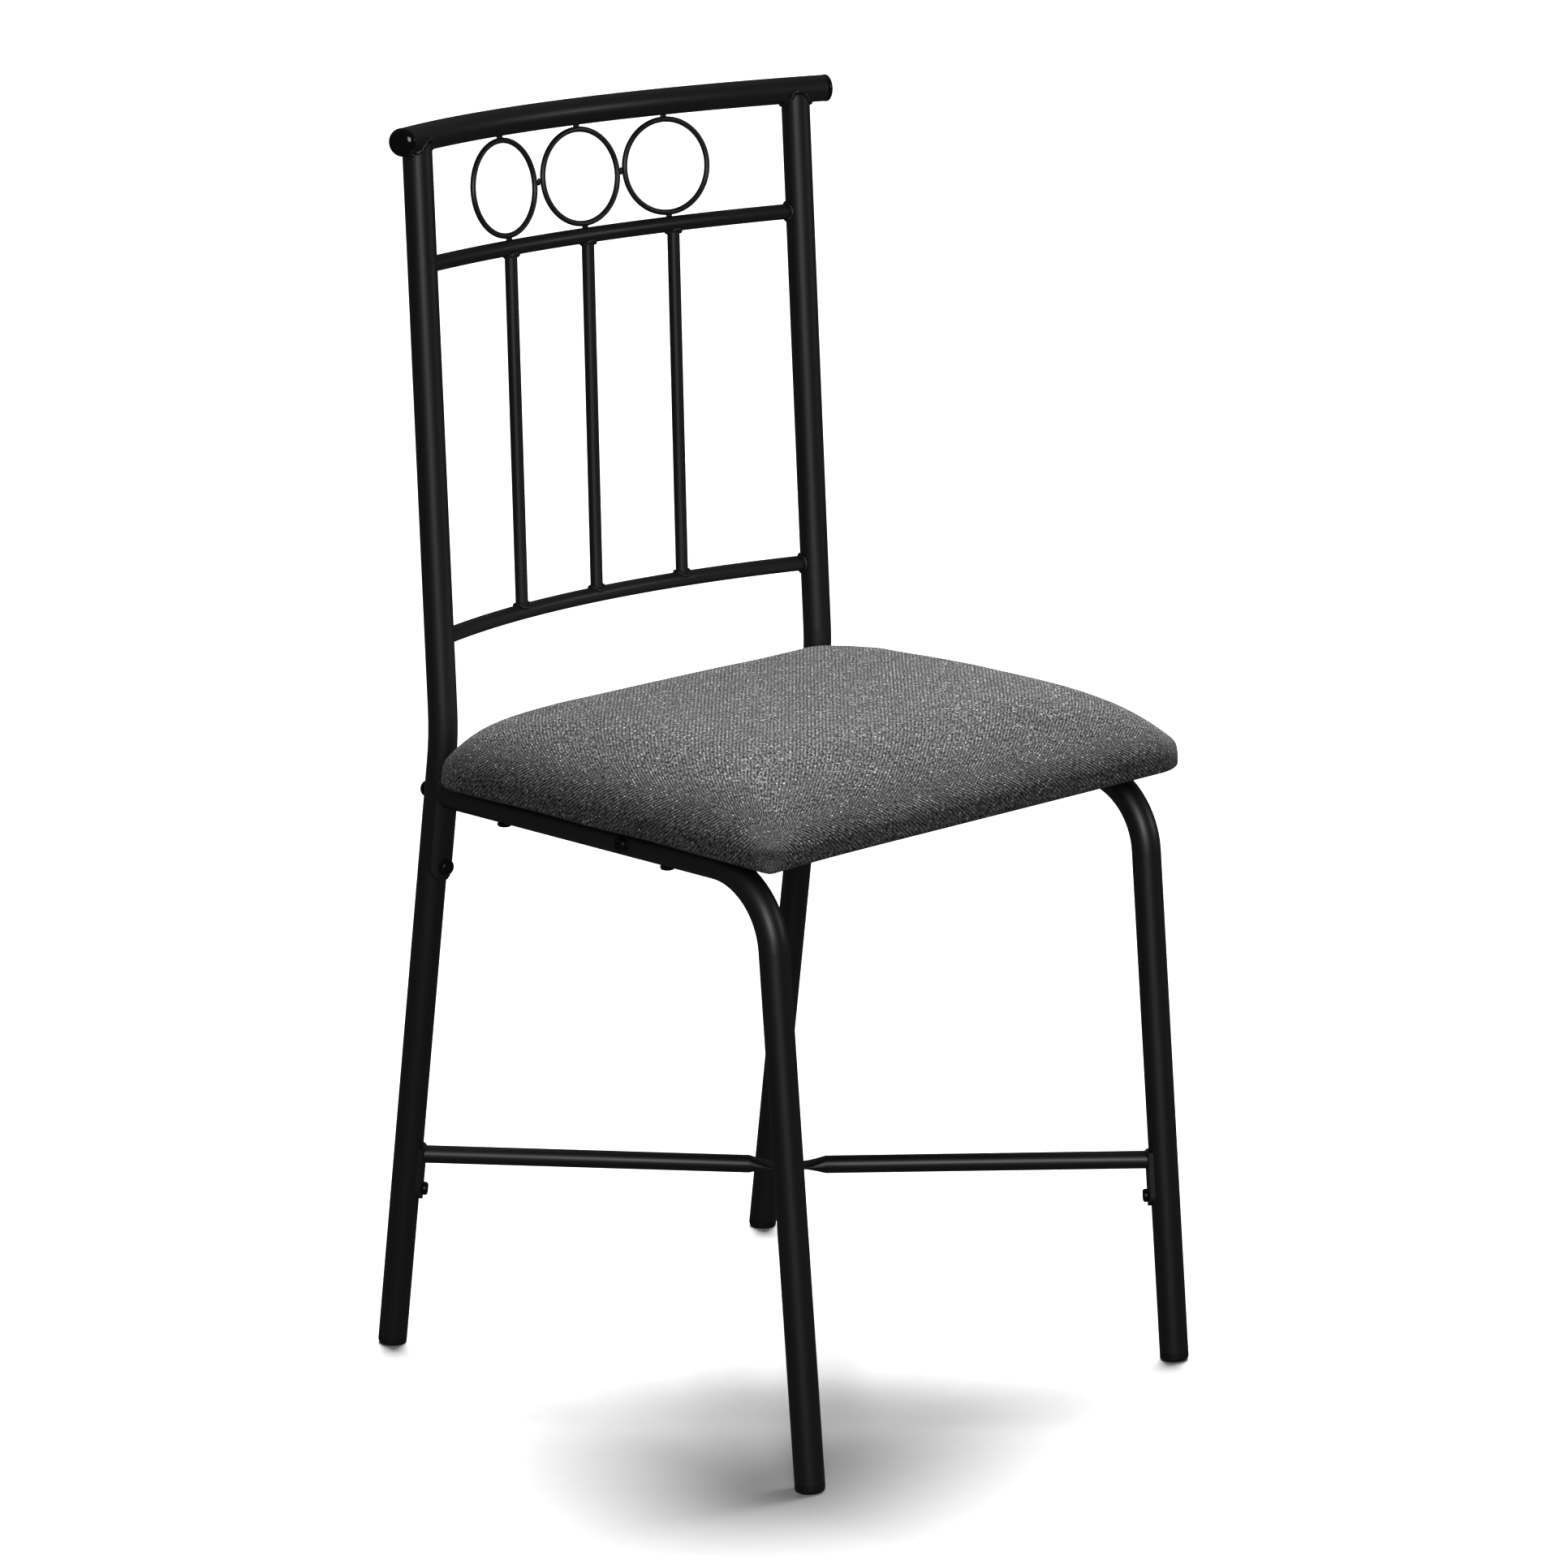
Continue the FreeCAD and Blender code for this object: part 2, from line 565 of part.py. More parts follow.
def stretcher(label, rear_side, dip):
    """Tube from the rear leg on one side to the front leg on the other, crossing pressed flat."""
    centre = V(0, CROSS_Y, S["stretcher_z"] - dip)
    solids, holes, flats = [], [], []
    for front, side in ((False, rear_side), (True, -rear_side)):
        point, up, inward = stretcher_end(front, side)
        level = V(point.x - centre.x, point.y - centre.y, 0).normalize()
        inner = centre + level * FLAT
        outer_end = centre + level * TAPER
        outer_end.z += dip * TAPER / (point - centre).Length
        way = (point - outer_end).normalize()
        span = (point - outer_end).Length
        tube = cut(rod(outer_end, way, "sizes.stretcher_d / 2", span),
                   rod(outer_end, way, "sizes.stretcher_d / 2 - 1", span))
        bottom, length = point - up * (SCREW_DOWN + 14), SCREW_DOWN + 14 + TUBE + 0.5
        body = rod(bottom, up, f"sizes.tube_r + 1.3", length)
        solids.append(cut(tube, body))
        shell = cut(rod(bottom, up, "sizes.tube_r + sizes.flat_t", length),
                    rod(bottom, up, "sizes.tube_r", length))
        screw_at = point - up * SCREW_DOWN
        rise = SCREW_DOWN + TUBE + 0.5
        strip = plate(screw_at + up * rise, inward, up * -1, "tab_w", rise)
        tip = rod(screw_at, inward, "sizes.tab_w / 2", ROOT + 4)
        solids.append(common(shell, fuse(strip, tip)))
        holes.append(drill(screw_at, inward, M5 + 0.2, 20))
        disc = part("Circle", outer_end, frame_of(way, way.cross(Z)), Radius="sizes.stretcher_d / 2")
        flat = flat_section(inner, level, 9.2)
        solids.append(loft(disc, flat))
        flats.append(flat_section(inner, level if not flats else level * -1, 9.2))
    solids.append(loft(*flats))
    holes.append(drill(centre - Z * 10, Z, M5 + 0.2, 20))
    return node(cut(fuse(*solids), *holes), label)


stretcher("stretcher_lower", -1, S["stretcher_dip"])
stretcher("stretcher_upper", 1, S["stretcher_dip"] - S["flat_t"])
middle = V(0, CROSS_Y, S["stretcher_z"] - S["stretcher_dip"])
top_face = middle + Z * (S["flat_t"] * 1.5)
node(screw(top_face, Z * -1, "screw_d", 12, 9.5, 3.0, "cross"), "stretcher_centre_bolt")
nut = part("Prism", middle - Z * (S["flat_t"] / 2 + 4))
nut.Polygon = 6
nut.Circumradius = 4.6
nut.Height = 4
hole = rod(middle - Z * 12, Z, "sizes.screw_d / 2", 12)
node(cut(nut, hole), "stretcher_centre_nut")
screws, inserts = [], []
for front in (False, True):
    for side in (-1, 1):
        point, up, inward = stretcher_end(front, side)
        screw_at = point - up * SCREW_DOWN
        face = screw_at + inward * (ROOT + S["flat_t"])
        screws.append(screw(face, inward * -1, "screw_d", 14, 9.6, 3.2, "cross"))
        inserts.append(sleeve(screw_at + inward * (ROOT - 11.9), inward, 3.6, "screw_d", 11))
group("stretcher_screws", screws)
group("leg_inserts", inserts)

# ---------------------------------------------------------------- foot glides
for front in (False, True):
    for side, name in ((-1, "left"), (1, "right")):
        up = leg_dir(side) if front else post_dir(side)
        foot = leg_point(side, 0) if front else post_point(side, 0)
        pad = rod(foot - up * 0.9, up, "sizes.tube_r", "sizes.glide_h + 0.9")
        soft = fillet(pad, 3.2, lambda e, f=foot, u=up: (e.CenterOfMass - f).dot(u) < 0)
        plug = rod(foot + up * 3, up, "sizes.bore_r - 0.1", 18)
        floor = part("Box", V(foot.x - 30, foot.y - 30, -20))
        floor.Length, floor.Width, floor.Height = 60, 60, 20
        where = "front" if front else "rear"
        node(cut(fuse(soft, plug), floor), f"foot_glide_{where}_{name}")


# ---------------------------------------------------------------- seat
def slab(inset, z, height):
    """Seat outline as a block with rounded corners, inset from the cloth's outside."""
    block = part("Box", V(), None, Length=f"sizes.seat_w - {2 * inset}",
                 Width=f"sizes.seat_front + sizes.seat_rear - {2 * inset}")
    block.Height = height
    put(block, V(-S["seat_w"] / 2 + inset, -S["seat_front"] + inset, z))

    def upright(edge):
        """True for an edge that runs up and down."""
        return abs(edge.tangentAt(edge.FirstParameter).z) > 0.9

    front = fillet(block, max(S["seat_corner_r"] - inset, 6.0),
                   lambda e: upright(e) and e.CenterOfMass.y < 0)
    return fillet(front, max(S["seat_rear_r"] - inset, 3.0),
                  lambda e: upright(e) and e.Length > height - 0.01
                  and abs(e.CenterOfMass.x) > S["seat_w"] / 2 - inset - 0.01
                  and e.CenterOfMass.y > S["seat_rear"] - inset - 0.01)


def cushion(inset, z, top):
    """Slab with its top edge rounded over."""
    block = slab(inset, z, top - z)
    doc.recompute()
    return fillet(block, S["seat_edge_r"] - inset,
                  lambda e: e.BoundBox.ZMin > top - 0.01)


cloth, seat_z = S["cloth_t"], S["seat_z"]
seat_top = seat_z + S["seat_h"]
board_z, board_top = seat_z + cloth, seat_z + cloth + S["board_t"]
inside = cushion(cloth, board_z, seat_top - cloth)
mouth = slab(S["tuck"], seat_z - 1, 5)
corners = [V(s * S["frame_x"], S["seat_screw_y"] + t * S["seat_screw_gap"], 0)
           for s in (-1, 1) for t in (-0.5, 0.5)]
cloth_holes = [drill(at + Z * (seat_z - 2), Z, M5 + 0.4, 6) for at in corners]
node(cut(cushion(0, seat_z, seat_top), inside, mouth, *cloth_holes), "seat_cover")

board_tools = []
for at in corners:
    board_tools.append(drill(at + Z * (board_top - 1.2), Z, 8.1, 5))
    board_tools.append(drill(at + Z * (board_z - 2), Z, 3.7, 20))
node(cut(slab(S["board_inset"], board_z, S["board_t"]), *board_tools), "seat_board")
board_room = slab(S["board_inset"], board_z - 1, board_top - board_z + 1)
node(cut(cushion(cloth, board_z, seat_top - cloth), board_room), "seat_foam")
node(slab(S["tuck"] + 0.8, seat_z + 0.4, 0.8), "dust_cover")

tees, screws = [], []
for at in corners:
    flange = drill(at + Z * (board_top - 1.2), Z, 8.0, 1.2)
    barrel = drill(at + Z * (board_top - 10.2), Z, 3.6, 9.5)
    tees.append(cut(fuse(flange, barrel), rod(at + Z * (board_top - 12), Z, "sizes.screw_d / 2", 14)))
    under = V(at.x, at.y, S["rail_z"] - ROOT)
    screws.append(screw(under, Z, "screw_d", board_top - 2 - under.z, 10.0, 2.4, "cross"))
group("t_nuts", tees)
group("seat_screws", screws)

staples = []
half_w, inset = S["seat_w"] / 2, S["tuck"] - 3
front, rear = -S["seat_front"] + inset, S["seat_rear"] - inset
for i in range(9):
    x = (i - 4) * 40
    staples.append((x, front, 10, 1.2))
    staples.append((x, rear, 10, 1.2))
for i in range(7):
    y = (front + rear) / 2 + (i - 3) * 38
    staples.append((-half_w + inset, y, 1.2, 10))
    staples.append((half_w - inset, y, 1.2, 10))
wires = []
for x, y, long_x, long_y in staples:
    wire = part("Box", V(x - long_x / 2, y - long_y / 2, seat_z - 0.5))
    wire.Length, wire.Width, wire.Height = long_x, long_y, 0.5
    wires.append(wire)
group("staples", wires)

# ---------------------------------------------------------------- checks and export
doc.recompute()
for obj in doc.Objects:
    if "Invalid" in obj.State or "Error" in obj.State:
        raise RuntimeError(f"{obj.Label} did not compute: {obj.State}")
for obj in NODES:
    if obj.Shape.isNull() or not obj.Shape.isValid() or not obj.Shape.Solids:
        raise RuntimeError(f"{obj.Label} has no valid solid")
os.makedirs("parts", exist_ok=True)
for obj in NODES:
    obj.Shape.exportStep(f"parts/{obj.Label}.step")
print(len(NODES), "nodes")
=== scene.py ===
"""Metal-framed dining chair: finishes, cushion, welds, floor, light and camera."""
import json
import logging
import math
from collections.abc import Iterable, Sequence
from dataclasses import dataclass, field
from enum import Enum

import bmesh
import bpy
import numpy as np
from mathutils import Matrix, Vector


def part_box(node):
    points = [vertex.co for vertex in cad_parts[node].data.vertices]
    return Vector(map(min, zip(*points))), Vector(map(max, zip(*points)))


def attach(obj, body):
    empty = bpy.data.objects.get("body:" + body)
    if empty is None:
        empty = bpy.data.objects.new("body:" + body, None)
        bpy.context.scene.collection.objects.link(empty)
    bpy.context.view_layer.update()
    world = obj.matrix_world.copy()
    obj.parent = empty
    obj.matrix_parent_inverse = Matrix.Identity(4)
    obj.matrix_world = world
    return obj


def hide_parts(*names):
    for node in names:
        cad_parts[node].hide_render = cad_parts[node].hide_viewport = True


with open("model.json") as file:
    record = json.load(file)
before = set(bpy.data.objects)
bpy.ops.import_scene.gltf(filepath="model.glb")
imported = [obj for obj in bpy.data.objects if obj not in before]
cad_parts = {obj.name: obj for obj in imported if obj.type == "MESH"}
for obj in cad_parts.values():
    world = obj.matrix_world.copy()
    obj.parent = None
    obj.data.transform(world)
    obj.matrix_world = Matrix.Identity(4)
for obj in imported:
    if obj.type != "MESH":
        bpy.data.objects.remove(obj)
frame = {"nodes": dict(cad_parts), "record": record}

LOG = logging.getLogger("dining_chair")
MM = 0.001
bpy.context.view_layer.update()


# ---------------------------------------------------------------- shared tools
def linear(code: str) -> tuple[float, float, float, float]:
    """Turns an sRGB hex colour into linear light.

    Args:
        code: colour such as "#1c1c1d".
    Returns:
        Red, green, blue and an alpha of one.
    """
    parts = [int(code[i:i + 2], 16) / 255 for i in (1, 3, 5)]
    light = [c / 12.92 if c <= 0.04045 else ((c + 0.055) / 1.055) ** 2.4 for c in parts]
    return light[0], light[1], light[2], 1.0


def add(tree: bpy.types.NodeTree, kind: str, settings: dict | None = None,
        links: dict | None = None) -> bpy.types.Node:
    """Adds one shader node with its settings and links.

    Args:
        tree: node tree that gets the node.
        kind: node type without its "ShaderNode" start.
        settings: input names or numbers, or attribute names, with their values.
        links: input names or numbers with the socket each is fed from.
    Returns:
        The new node.
    """
    node = tree.nodes.new("ShaderNode" + kind)
    for key, value in (settings or {}).items():
        if isinstance(key, str) and hasattr(node, key) and key not in node.inputs:
            setattr(node, key, value)
        else:
            node.inputs[key].default_value = value
    for key, socket in (links or {}).items():
        tree.links.new(socket, node.inputs[key])
    return node


def new_material(name: str) -> tuple[bpy.types.Material, bpy.types.NodeTree]:
    """Makes an empty node material and returns it with its tree.

    Args:
        name: name of the material.
    Returns:
        The material and its cleared node tree.
    """
    material = bpy.data.materials.new(name)
    material.use_nodes = True
    material.node_tree.nodes.clear()
    return material, material.node_tree


def mesh_piece(name: str, verts: Iterable[Sequence[float]], faces: Iterable[Sequence[int]],
               material: bpy.types.Material, smooth: bool = True) -> bpy.types.Object:
    """Makes a mesh object in the scene.

    Args:
        name: name of the piece.
        verts: corners, in metres.
        faces: corner numbers of each face.
        material: its finish.
        smooth: whether its faces are shaded smooth.
    Returns:
        The new object.
    """
    mesh = bpy.data.meshes.new(name)
    mesh.from_pydata([tuple(v) for v in verts], [], [tuple(f) for f in faces])
    mesh.materials.append(material)
    mesh.update()
    if smooth:
        mesh.shade_smooth()
    piece = bpy.data.objects.new(name, mesh)
    bpy.context.scene.collection.objects.link(piece)
    return piece


# ---------------------------------------------------------------- finishes
@dataclass(frozen=True)
class PowderCoat:
    """Polyester powder coat baked on steel tube: satin, with a very fine orange peel."""

    # a cured coat is an even dielectric film, so it has no metallic part; its gloss drifts slightly

    name: str = "satin_powder_coat"
    deep: str = "#0e0e0f"
    pale: str = "#151516"
    roughness: float = 0.42
    peel_mm: float = 1.4
    peel_height_mm: float = 0.02

    def build(self) -> bpy.types.Material:
        """Builds the coat: cured film with a slightly uneven gloss.

        Returns:
            The material.
        """
        material, tree = new_material(self.name)
        place = add(tree, "TexCoord").outputs["Object"]
        drift = add(tree, "TexNoise", {"Scale": 9.0, "Detail": 3.0}, {"Vector": place})
        colour = add(tree, "Mix", {"data_type": "RGBA", 6: linear(self.deep), 7: linear(self.pale)},
                     {0: drift.outputs["Fac"]})
        gloss = add(tree, "MapRange", {"To Min": self.roughness - 0.04, "To Max": self.roughness + 0.06},
                    {"Value": drift.outputs["Fac"]})
        peel = add(tree, "TexNoise", {"Scale": 1 / (self.peel_mm * MM), "Detail": 1.0}, {"Vector": place})
        bump = add(tree, "Bump", {"Strength": 0.35, "Distance": self.peel_height_mm * MM},
                   {"Height": peel.outputs["Fac"]})
        shader = add(tree, "BsdfPrincipled", {"IOR": 1.5, "Specular IOR Level": 1.0},
                     {"Base Color": colour.outputs[2], "Roughness": gloss.outputs["Result"],
                      "Normal": bump.outputs["Normal"]})
        add(tree, "OutputMaterial", {}, {"Surface": shader.outputs[0]})
        return material


@dataclass(frozen=True)
class MouldedPlastic:
    """Injection-moulded polyethylene, as glossy or matt as its mould's surface was."""

    name: str
    colour: str
    worn: str
    roughness: float
    grain_mm: float
    grain_height_mm: float

    def build(self) -> bpy.types.Material:
        """Builds the plastic: even black with faint rub marks.

        Returns:
            The material.
        """
        material, tree = new_material(self.name)
        place = add(tree, "TexCoord").outputs["Object"]
        rub = add(tree, "TexNoise", {"Scale": 220.0, "Detail": 4.0, "Roughness": 0.7}, {"Vector": place})
        marks = add(tree, "MapRange", {"From Min": 0.55, "From Max": 0.8}, {"Value": rub.outputs["Fac"]})
        colour = add(tree, "Mix", {"data_type": "RGBA", 6: linear(self.colour), 7: linear(self.worn)},
                     {0: marks.outputs["Result"]})
        gloss = add(tree, "MapRange", {"To Min": self.roughness, "To Max": self.roughness + 0.12},
                    {"Value": marks.outputs["Result"]})
        grain = add(tree, "TexNoise", {"Scale": 1 / (self.grain_mm * MM)}, {"Vector": place})
        bump = add(tree, "Bump", {"Strength": 0.4, "Distance": self.grain_height_mm * MM},
                   {"Height": grain.outputs["Fac"]})
        shader = add(tree, "BsdfPrincipled", {"IOR": 1.51},
                     {"Base Color": colour.outputs[2], "Roughness": gloss.outputs["Result"],
                      "Normal": bump.outputs["Normal"]})
        add(tree, "OutputMaterial", {}, {"Surface": shader.outputs[0]})
        return material


@dataclass(frozen=True)
class PlatedSteel:
    """Machined steel fastener, either black oxide over oil or bright zinc."""

    name: str
    deep: str
    pale: str
    metallic: float
    roughness: float

    def build(self) -> bpy.types.Material:
        """Builds the plating: a metal with fine turning marks.

        Returns:
            The material.
        """
        material, tree = new_material(self.name)
        place = add(tree, "TexCoord").outputs["Object"]
        bloom = add(tree, "TexNoise", {"Scale": 400.0, "Detail": 3.0}, {"Vector": place})
        colour = add(tree, "Mix", {"data_type": "RGBA", 6: linear(self.deep), 7: linear(self.pale)},
                     {0: bloom.outputs["Fac"]})
        gloss = add(tree, "MapRange", {"To Min": self.roughness - 0.06, "To Max": self.roughness + 0.1},
                    {"Value": bloom.outputs["Fac"]})
        bump = add(tree, "Bump", {"Strength": 0.3, "Distance": 0.02 * MM}, {"Height": bloom.outputs["Fac"]})
        shader = add(tree, "BsdfPrincipled", {"Metallic": self.metallic},
                     {"Base Color": colour.outputs[2], "Roughness": gloss.outputs["Result"],
                      "Normal": bump.outputs["Normal"]})
        add(tree, "OutputMaterial", {}, {"Surface": shader.outputs[0]})
        return material


@dataclass(frozen=True)
class HeatherTwill:
    """Polyester chair twill woven from charcoal and pale grey yarn, so it looks flecked."""

    name: str = "heather_twill"
    # the darkest grey is the charcoal yarn, and it is also the painted shade in the grooves between ribs
    shadow: str = "#1a1a1b"
    body: str = "#8f8f90"
    fleck: str = "#d6d7d8"
    rib_mm: float = 2.5  # real ribs are about 1 mm apart: drawn coarser so they show
    yarn_mm: float = 1.4
    fleck_mm: float = 2.6
    relief_mm: float = 0.5

    def ribs(self, tree: bpy.types.NodeTree, turned: bpy.types.NodeSocket, across: str,
             wander: bpy.types.NodeSocket) -> tuple[bpy.types.NodeSocket, bpy.types.NodeSocket]:
        """Makes one set of parallel ribs with yarns of many greys along them, the yarn darkened in the
        grooves between ribs as painted shade.

        Args:
            tree: the cloth's node tree.
            turned: the cloth's coordinates, turned to lie along and across the ribs.
            across: the coordinate that runs across these ribs, "X" or "Y".
            wander: slow noise that keeps the ribs from being ruler straight.
        Returns:
            Height of the ribs, and paleness of the yarn with painted shade in the grooves between ribs, each
            from 0 to 1.
        """
        ways = add(tree, "SeparateXYZ", {}, {"Vector": turned})
        phase = add(tree, "Math", {"operation": "MULTIPLY", 1: 2 * math.pi / (self.rib_mm * MM)},
                    {0: ways.outputs[across]})
        shift = add(tree, "Math", {"operation": "MULTIPLY_ADD", 1: 1.6}, {0: wander, 2: phase.outputs[0]})
        wave = add(tree, "Math", {"operation": "SINE"}, {0: shift.outputs[0]})
        height = add(tree, "MapRange", {"From Min": -0.8, "From Max": 0.7}, {"Value": wave.outputs[0]})
        drawn = (1.0, 0.42, 1.0) if across == "X" else (0.42, 1.0, 1.0)
        long = add(tree, "Mapping", {"Scale": drawn}, {"Vector": turned})
        yarn = add(tree, "TexNoise", {"Scale": 1 / (self.yarn_mm * MM), "Detail": 1.0, "Roughness": 0.6},
                   {"Vector": long.outputs[0]})
        pale = add(tree, "MapRange", {"From Min": 0.36, "From Max": 0.66}, {"Value": yarn.outputs["Fac"]})
        # painted shade: the yarn's paleness is multiplied by the rib height, so the grooves between ribs come
        # out darker
        tone = add(tree, "Math", {"operation": "MULTIPLY"}, {0: height.outputs[0], 1: pale.outputs[0]})
        yarn_with_groove_shade = add(tree, "Mix", {0: 0.62}, {2: pale.outputs[0], 3: tone.outputs[0]})
        return height.outputs[0], yarn_with_groove_shade.outputs[0]

    def build(self) -> bpy.types.Material:
        """Builds the twill: ribs that turn from the top to the sides, with painted shade in the grooves
        between ribs and scattered pale flecks.

        Returns:
            The material.
        """
        material, tree = new_material(self.name)
        cloth = add(tree, "UVMap", {"uv_map": "cloth"}).outputs["UV"]
        place = add(tree, "TexCoord").outputs["Object"]
        turned = add(tree, "Mapping", {"Rotation": (0.0, 0.0, math.radians(45))}, {"Vector": cloth})
        wander = add(tree, "TexNoise", {"Scale": 160.0, "Detail": 1.0}, {"Vector": cloth}).outputs["Fac"]
        facing = add(tree, "NewGeometry")
        upward = add(tree, "SeparateXYZ", {}, {"Vector": facing.outputs["Normal"]})
        flat = add(tree, "MapRange", {"From Min": 0.5, "From Max": 0.8}, {"Value": upward.outputs["Z"]})
        side_ribs, side_yarn_and_groove_shade = self.ribs(tree, turned.outputs[0], "Y", wander)
        top_ribs, top_yarn_and_groove_shade = self.ribs(tree, turned.outputs[0], "X", wander)
        weave = add(tree, "Mix", {}, {0: flat.outputs[0], 2: side_ribs, 3: top_ribs}).outputs[0]
        tone = add(tree, "Mix", {}, {0: flat.outputs[0], 2: side_yarn_and_groove_shade, 3: top_yarn_and_groove_shade}).outputs[0]
        mottle = add(tree, "TexNoise", {"Scale": 60.0, "Detail": 3.0}, {"Vector": place})
        cloudy = add(tree, "MapRange", {"To Min": 0.55, "To Max": 1.25}, {"Value": mottle.outputs["Fac"]})
        tone = add(tree, "Math", {"operation": "MULTIPLY", "use_clamp": True},
                   {0: tone, 1: cloudy.outputs[0]})
        # the grey ground: yarn greys and random mottle, plus the painted shade in the rib grooves
        ground = add(tree, "Mix", {"data_type": "RGBA", 6: linear(self.shadow), 7: linear(self.body)},
                     {0: tone.outputs[0]})
        knots = add(tree, "TexVoronoi", {"Scale": 1 / (self.fleck_mm * MM)}, {"Vector": turned.outputs[0]})
        near = add(tree, "MapRange", {"From Min": 0.32, "From Max": 0.18},
                   {"Value": knots.outputs["Distance"]})
        chosen = add(tree, "SeparateXYZ", {}, {"Vector": knots.outputs["Color"]})
        some = add(tree, "MapRange", {"From Min": 0.5, "From Max": 1.0}, {"Value": chosen.outputs["X"]})
        flecks = add(tree, "Math", {"operation": "MULTIPLY"}, {0: near.outputs[0], 1: some.outputs[0]})
        colour = add(tree, "Mix", {"data_type": "RGBA", 7: linear(self.fleck)},
                     {0: flecks.outputs[0], 6: ground.outputs[2]})
        height = add(tree, "Math", {"operation": "MULTIPLY_ADD", 1: 0.8}, {0: tone.outputs[0], 2: weave})
        bump = add(tree, "Bump", {"Strength": 0.6, "Distance": self.relief_mm * MM},
                   {"Height": height.outputs[0]})
        shader = add(tree, "BsdfPrincipled",
                     {"Roughness": 0.92, "Sheen Weight": 0.25, "Sheen Roughness": 0.4,
                      "Sheen Tint": linear("#d8d8da"), "Specular IOR Level": 0.2},
                     {"Base Color": colour.outputs[2], "Normal": bump.outputs["Normal"]})
        add(tree, "OutputMaterial", {}, {"Surface": shader.outputs[0]})
        return material


@dataclass(frozen=True)
class SpunbondLining:
    """Spun-bonded polypropylene lining: thin black felt with a grid of pressed dots."""

    name: str = "spunbond_lining"
    deep: str = "#131314"
    pale: str = "#2a2a2c"
    dot_mm: float = 2.2

    def build(self) -> bpy.types.Material:
        """Builds the lining: matt fibres with a dot every couple of millimetres.

        Returns:
            The material.
        """
        material, tree = new_material(self.name)
        place = add(tree, "TexCoord").outputs["Object"]
        dots = add(tree, "TexVoronoi", {"Scale": 1 / (self.dot_mm * MM), "Randomness": 0.15},
                   {"Vector": place})
        pressed = add(tree, "MapRange", {"From Min": 0.2, "From Max": 0.35},
                      {"Value": dots.outputs["Distance"]})
        fibres = add(tree, "TexNoise", {"Scale": 1400.0, "Detail": 4.0, "Distortion": 1.5}, {"Vector": place})
        tone = add(tree, "Math", {"operation": "MULTIPLY"}, {0: pressed.outputs[0], 1: fibres.outputs["Fac"]})
        colour = add(tree, "Mix", {"data_type": "RGBA", 6: linear(self.deep), 7: linear(self.pale)},
                     {0: tone.outputs[0]})
        bump = add(tree, "Bump", {"Strength": 0.6, "Distance": 0.15 * MM}, {"Height": tone.outputs[0]})
        shader = add(tree, "BsdfPrincipled", {"Roughness": 0.85, "Sheen Weight": 0.2},
                     {"Base Color": colour.outputs[2], "Normal": bump.outputs["Normal"]})
        add(tree, "OutputMaterial", {}, {"Surface": shader.outputs[0]})
        return material


@dataclass(frozen=True)
class PoplarPlywood:
    """Rotary-cut poplar plywood, sanded: pale with long soft grain."""

    name: str = "poplar_plywood"
    early: str = "#c9a87a"
    late: str = "#9c7648"
    grain_mm: float = 6.0

    def build(self) -> bpy.types.Material:
        """Builds the plywood's face.

        Returns:
            The material.
        """
        material, tree = new_material(self.name)
        place = add(tree, "TexCoord").outputs["Object"]
        long = add(tree, "Mapping", {"Scale": (1.0, 12.0, 12.0)}, {"Vector": place})
        grain = add(tree, "TexNoise", {"Scale": 0.08 / (self.grain_mm * MM), "Detail": 6.0},
                    {"Vector": long.outputs[0]})
        colour = add(tree, "Mix", {"data_type": "RGBA", 6: linear(self.early), 7: linear(self.late)},
                     {0: grain.outputs["Fac"]})
        bump = add(tree, "Bump", {"Strength": 0.3, "Distance": 0.1 * MM}, {"Height": grain.outputs["Fac"]})
        shader = add(tree, "BsdfPrincipled", {"Roughness": 0.7},
                     {"Base Color": colour.outputs[2], "Normal": bump.outputs["Normal"]})
        add(tree, "OutputMaterial", {}, {"Surface": shader.outputs[0]})
        return material


class Finish(Enum):
    """The finishes of the chair, each by the record's material slot."""

    FRAME = "frame_black"
    CAP = "cap_plastic"
    GLIDE = "glide_plastic"
    BOLT = "bolt_black"
    ZINC = "zinc"
    PLYWOOD = "plywood"
    CLOTH = "seat_cloth"
    LINING = "dust_cloth"
    FOAM = "foam"


class FinishSet:
    """Builds each finish once and gives it out by name."""

    def __init__(self) -> None:
        """Makes the recipes, none of them built yet."""
        self.recipes = {
            Finish.FRAME: PowderCoat(),
            Finish.CAP: MouldedPlastic("gloss_cap_plastic", "#0c0c0d", "#161617", 0.10, 3.0, 0.01),
            Finish.GLIDE: MouldedPlastic("matt_glide_plastic", "#161617", "#242425", 0.5, 0.8, 0.03),
            Finish.BOLT: PlatedSteel("black_oxide_steel", "#101011", "#1b1b1c", 0.35, 0.3),
            Finish.ZINC: PlatedSteel("zinc_plated_steel", "#a9adb2", "#c9ccd0", 1.0, 0.32),
            Finish.PLYWOOD: PoplarPlywood(),
            Finish.CLOTH: HeatherTwill(),
            Finish.LINING: SpunbondLining(),
            Finish.FOAM: MouldedPlastic("cut_foam", "#d8cfa8", "#c4b98c", 0.9, 1.0, 0.3),
        }
        self.built: dict[Finish, bpy.types.Material] = {}

    def get(self, finish: Finish) -> bpy.types.Material:
        """Gives the finish's material, building it the first time.

        Args:
            finish: which finish.
        Returns:
            Its material.
        """
        if finish not in self.built:
            self.built[finish] = self.recipes[finish].build()
        return self.built[finish]


